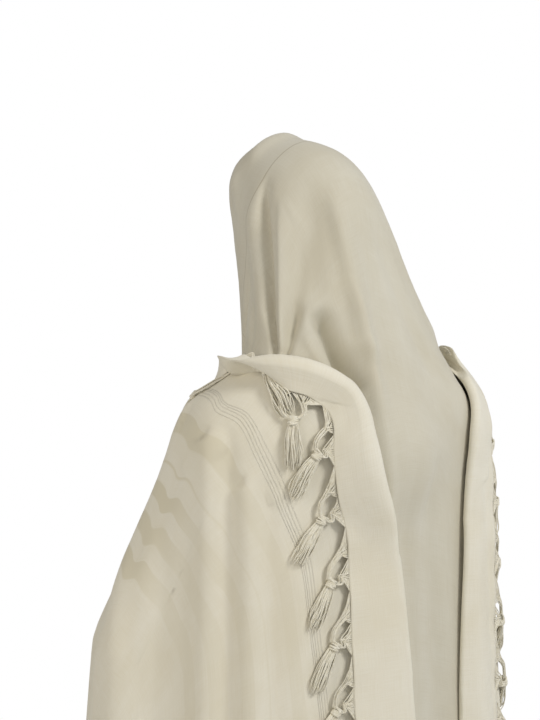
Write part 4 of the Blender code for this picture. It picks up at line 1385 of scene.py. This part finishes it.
@dataclass
class Tassel:
    """A corner tassel: four cords doubled through an eyelet, wound and knotted, then eight strands."""

    end: TurnedEnd
    front: bool
    level: float = 0.027
    head: float = 0.10
    length: float = 0.30
    yarn: float = 0.0010
    windings: tuple[int, ...] = (7, 8, 11, 13)
    seed: int = SEED

    def _line(self) -> tuple[np.ndarray, np.ndarray, np.ndarray]:
        """The tassel's middle line, and the directions across it and out from the cloth."""
        row, inner = (0, 1) if self.front else (-1, -2)
        hem, inside = self.end.net[row, :8], self.end.net[inner, :8]
        middle = hem.mean(axis=0)
        along = unit(hem[-1] - hem[0])
        out = middle - inside.mean(axis=0)
        out = unit(out - along * (out @ along))
        top = middle + out * 0.0006
        depths = np.linspace(0.004, self.length, 75)
        line = top + out * 0.002 + DOWN * depths[:, None]
        figure = self.end.drape.figure
        settled = figure.settle(line, self.level)
        share = smooth_step(depths, 0.0, 0.03)[:, None]
        line = line * (1 - share) + settled * share
        slope = figure.outward(line)
        across = unit(np.cross(slope, DOWN))
        return line, across, slope

    def build(self, finishes: Finishes) -> bpy.types.Object:
        """Builds the tassel.

        Args:
            finishes: The materials.

        Returns:
            The piece.
        """
        name = self.end.side.value + ("_front" if self.front else "_back") + "_tzitzit"
        draw = np.random.default_rng(self.seed + len(name))
        line, across, slope = self._line()
        depths = np.linspace(0.004, self.length, len(line))
        frames = (line, across, slope)

        def at(depth: np.ndarray, aside: np.ndarray, rise: np.ndarray) -> np.ndarray:
            """Points at depths down the tassel, aside from its middle line and out from it."""
            middle, side, out = (
                np.column_stack([np.interp(depth, depths, values[:, axis]) for axis in range(3)])
                for values in frames
            )
            return middle + side * np.reshape(aside, (-1, 1)) + out * np.reshape(rise, (-1, 1))

        strands = []
        core = np.linspace(0.004, self.head + 0.004, 16)
        for cord in range(8):
            turn = 2 * math.pi * cord / 8
            places = at(core, math.cos(turn) * 0.0015 * np.ones(16), math.sin(turn) * 0.0015 * np.ones(16))
            strands.append(Strand(places, np.full(16, self.yarn)))
        start = 0.010
        share_each = (self.head - start) / (sum(self.windings) + 3 * (len(self.windings) + 1))
        here = start
        for count in (*self.windings, 0):
            knot = np.linspace(0, 2 * math.pi * 3, 25)
            depth = here + share_each * 3 * np.linspace(0.1, 0.9, 25)
            wide = 0.0036 + 0.0005 * np.sin(knot * 0.5)
            strands.append(Strand(at(depth, np.cos(knot) * wide, np.sin(knot) * wide * 0.9), np.full(25, 0.0013)))
            here += share_each * 3
            if count:
                wind = np.linspace(0, 2 * math.pi * count, 12 * count + 1)
                depth = here + share_each * count * np.linspace(0, 1, len(wind))
                wide = 0.0027
                strands.append(Strand(at(depth, np.cos(wind) * wide, np.sin(wind) * wide),
                                      np.full(len(wind), self.yarn * 0.95)))
                here += share_each * count
        for cord in range(8):
            share = np.linspace(0, 1, 22)
            long = (self.length - self.head) * draw.uniform(0.9, 1.0)
            wave = 0.0016 * np.sin(share * draw.uniform(7, 12) + draw.uniform(0, 6))
            aside = (cord - 3.5) * (0.0008 + 0.0026 * share) + wave * share
            rise = 0.0012 * np.sin(share * draw.uniform(6, 10) + cord) * share
            strands.append(Strand(at(self.head + share * long, aside, rise), np.full(22, self.yarn)))
        if self.end.side is Side.RIGHT:
            strands = [Strand(strand.points * MIRROR, strand.radii) for strand in strands]
        item = yarn_object(name + "_wound", strands, finishes.tassel)
        dress(item, "yarn", name)
        return item


@dataclass(frozen=True)
class SoftBox:
    """A large square lamp that faces a point."""

    name: str
    place: Point
    target: Point
    size: float
    power: float
    colour: str

    def build(self) -> bpy.types.Object:
        """Builds the lamp."""
        data = bpy.data.lights.new(self.name, "AREA")
        data.shape, data.size, data.energy = "SQUARE", self.size, self.power
        data.color = linear(self.colour)[:3]
        lamp = bpy.data.objects.new(self.name, data)
        lamp.location = self.place
        lamp.rotation_euler = (Vector(self.target) - Vector(self.place)).to_track_quat("-Z", "Y").to_euler()
        bpy.context.scene.collection.objects.link(lamp)
        return lamp


@dataclass
class Studio:
    """The camera, the lamps, the pale floor and the white room."""

    target: Point = (0.043, -0.030, -0.300)
    azimuth: float = 145.0
    elevation: float = 5.0
    distance: float = 2.6
    lens: float = 91.0
    floor_radius: float = 2.2
    floor_gap: float = 0.012
    room: float = 0.38
    backdrop: float = 1.0
    lamps: tuple[SoftBox, ...] = (
        SoftBox("key_softbox", (-0.60, 2.5, 1.35), (0.08, 0.05, -0.35), 0.8, 42.0, "#FFFDF8"),
        SoftBox("fill_softbox", (2.6, 0.5, 0.6), (0.0, 0.0, -0.4), 2.0, 20.0, "#FFF5E4"),
        SoftBox("rim_softbox", (-2.4, 0.8, 0.4), (0.0, 0.0, -0.4), 2.0, 9.0, "#EDF2FF"),
    )

    def _camera(self) -> None:
        """The camera, at the photograph's angle."""
        az, el = math.radians(self.azimuth), math.radians(self.elevation)
        back = Vector((math.sin(az) * math.cos(el), -math.cos(az) * math.cos(el), math.sin(el)))
        data = bpy.data.cameras.new("camera")
        data.lens, data.sensor_width = self.lens, 36.0
        data.clip_end = 50.0
        camera = bpy.data.objects.new("camera", data)
        camera.location = Vector(self.target) + back * self.distance
        camera.rotation_euler = back.to_track_quat("Z", "Y").to_euler()
        bpy.context.scene.collection.objects.link(camera)
        bpy.context.scene.camera = camera

    def _floor(self) -> None:
        """A round floor just under the hem."""
        form = bmesh.new()
        bmesh.ops.create_circle(form, cap_ends=True, segments=96, radius=self.floor_radius)
        for vert in form.verts:
            vert.co.z = CAD_BOX[0][2] - self.floor_gap
        mesh = bpy.data.meshes.new("floor")
        form.to_mesh(mesh)
        form.free()
        floor = link_object("floor", mesh, FloorFinish().build())

    def _room(self) -> None:
        """A white room: an even soft light, and a brighter wall behind."""
        world = bpy.data.worlds.new("room")
        bpy.context.scene.world = world
        world.use_nodes = True
        tree = world.node_tree
        light = tree.nodes["Background"]
        light.inputs[0].default_value = linear("#FBFAF6")
        light.inputs[1].default_value = self.room
        wall = tree.nodes.new("ShaderNodeBackground")
        wall.inputs[0].default_value = (1.0, 1.0, 1.0, 1.0)
        wall.inputs[1].default_value = self.backdrop
        path = tree.nodes.new("ShaderNodeLightPath")
        mix = tree.nodes.new("ShaderNodeMixShader")
        tree.links.new(path.outputs["Is Camera Ray"], mix.inputs[0])
        tree.links.new(light.outputs[0], mix.inputs[1])
        tree.links.new(wall.outputs[0], mix.inputs[2])
        tree.links.new(mix.outputs[0], tree.nodes["World Output"].inputs[0])

    def build(self) -> None:
        """Builds the studio."""
        self._camera()
        self._floor()
        self._room()
        for lamp in self.lamps:
            lamp.build()


def main() -> None:
    """Builds the tallit and its studio."""
    logging.basicConfig(level=logging.INFO, format="%(name)s: %(message)s")
    bpy.context.scene.view_settings.view_transform = "Standard"
    for lamp in [item for item in bpy.data.objects if item.type in {"LIGHT", "CAMERA"}]:
        bpy.data.objects.remove(lamp)
    Studio().build()
    finishes = Finishes()
    figure = Figure()
    body = BodyCloth(Drape(figure, BODY_FOLDS))
    cloth = body.build(finishes)
    NeckBand(body).build(finishes)
    for side, sections in ((Side.LEFT, LEFT_END_SECTIONS), (Side.RIGHT, RIGHT_END_SECTIONS)):
        close = {"lobe_standoff": 0.0050, "roll_share": 0.4} if side is Side.RIGHT else {}
        end = TurnedEnd(side, body, Drape(figure, END_FOLDS), sections, **close)
        item = end.build(finishes)
        fringe = Fringe(end).build(finishes)
        tassels = [Tassel(end, front).build(finishes) for front in (True, False)]


if __name__ == "__main__":
    main()
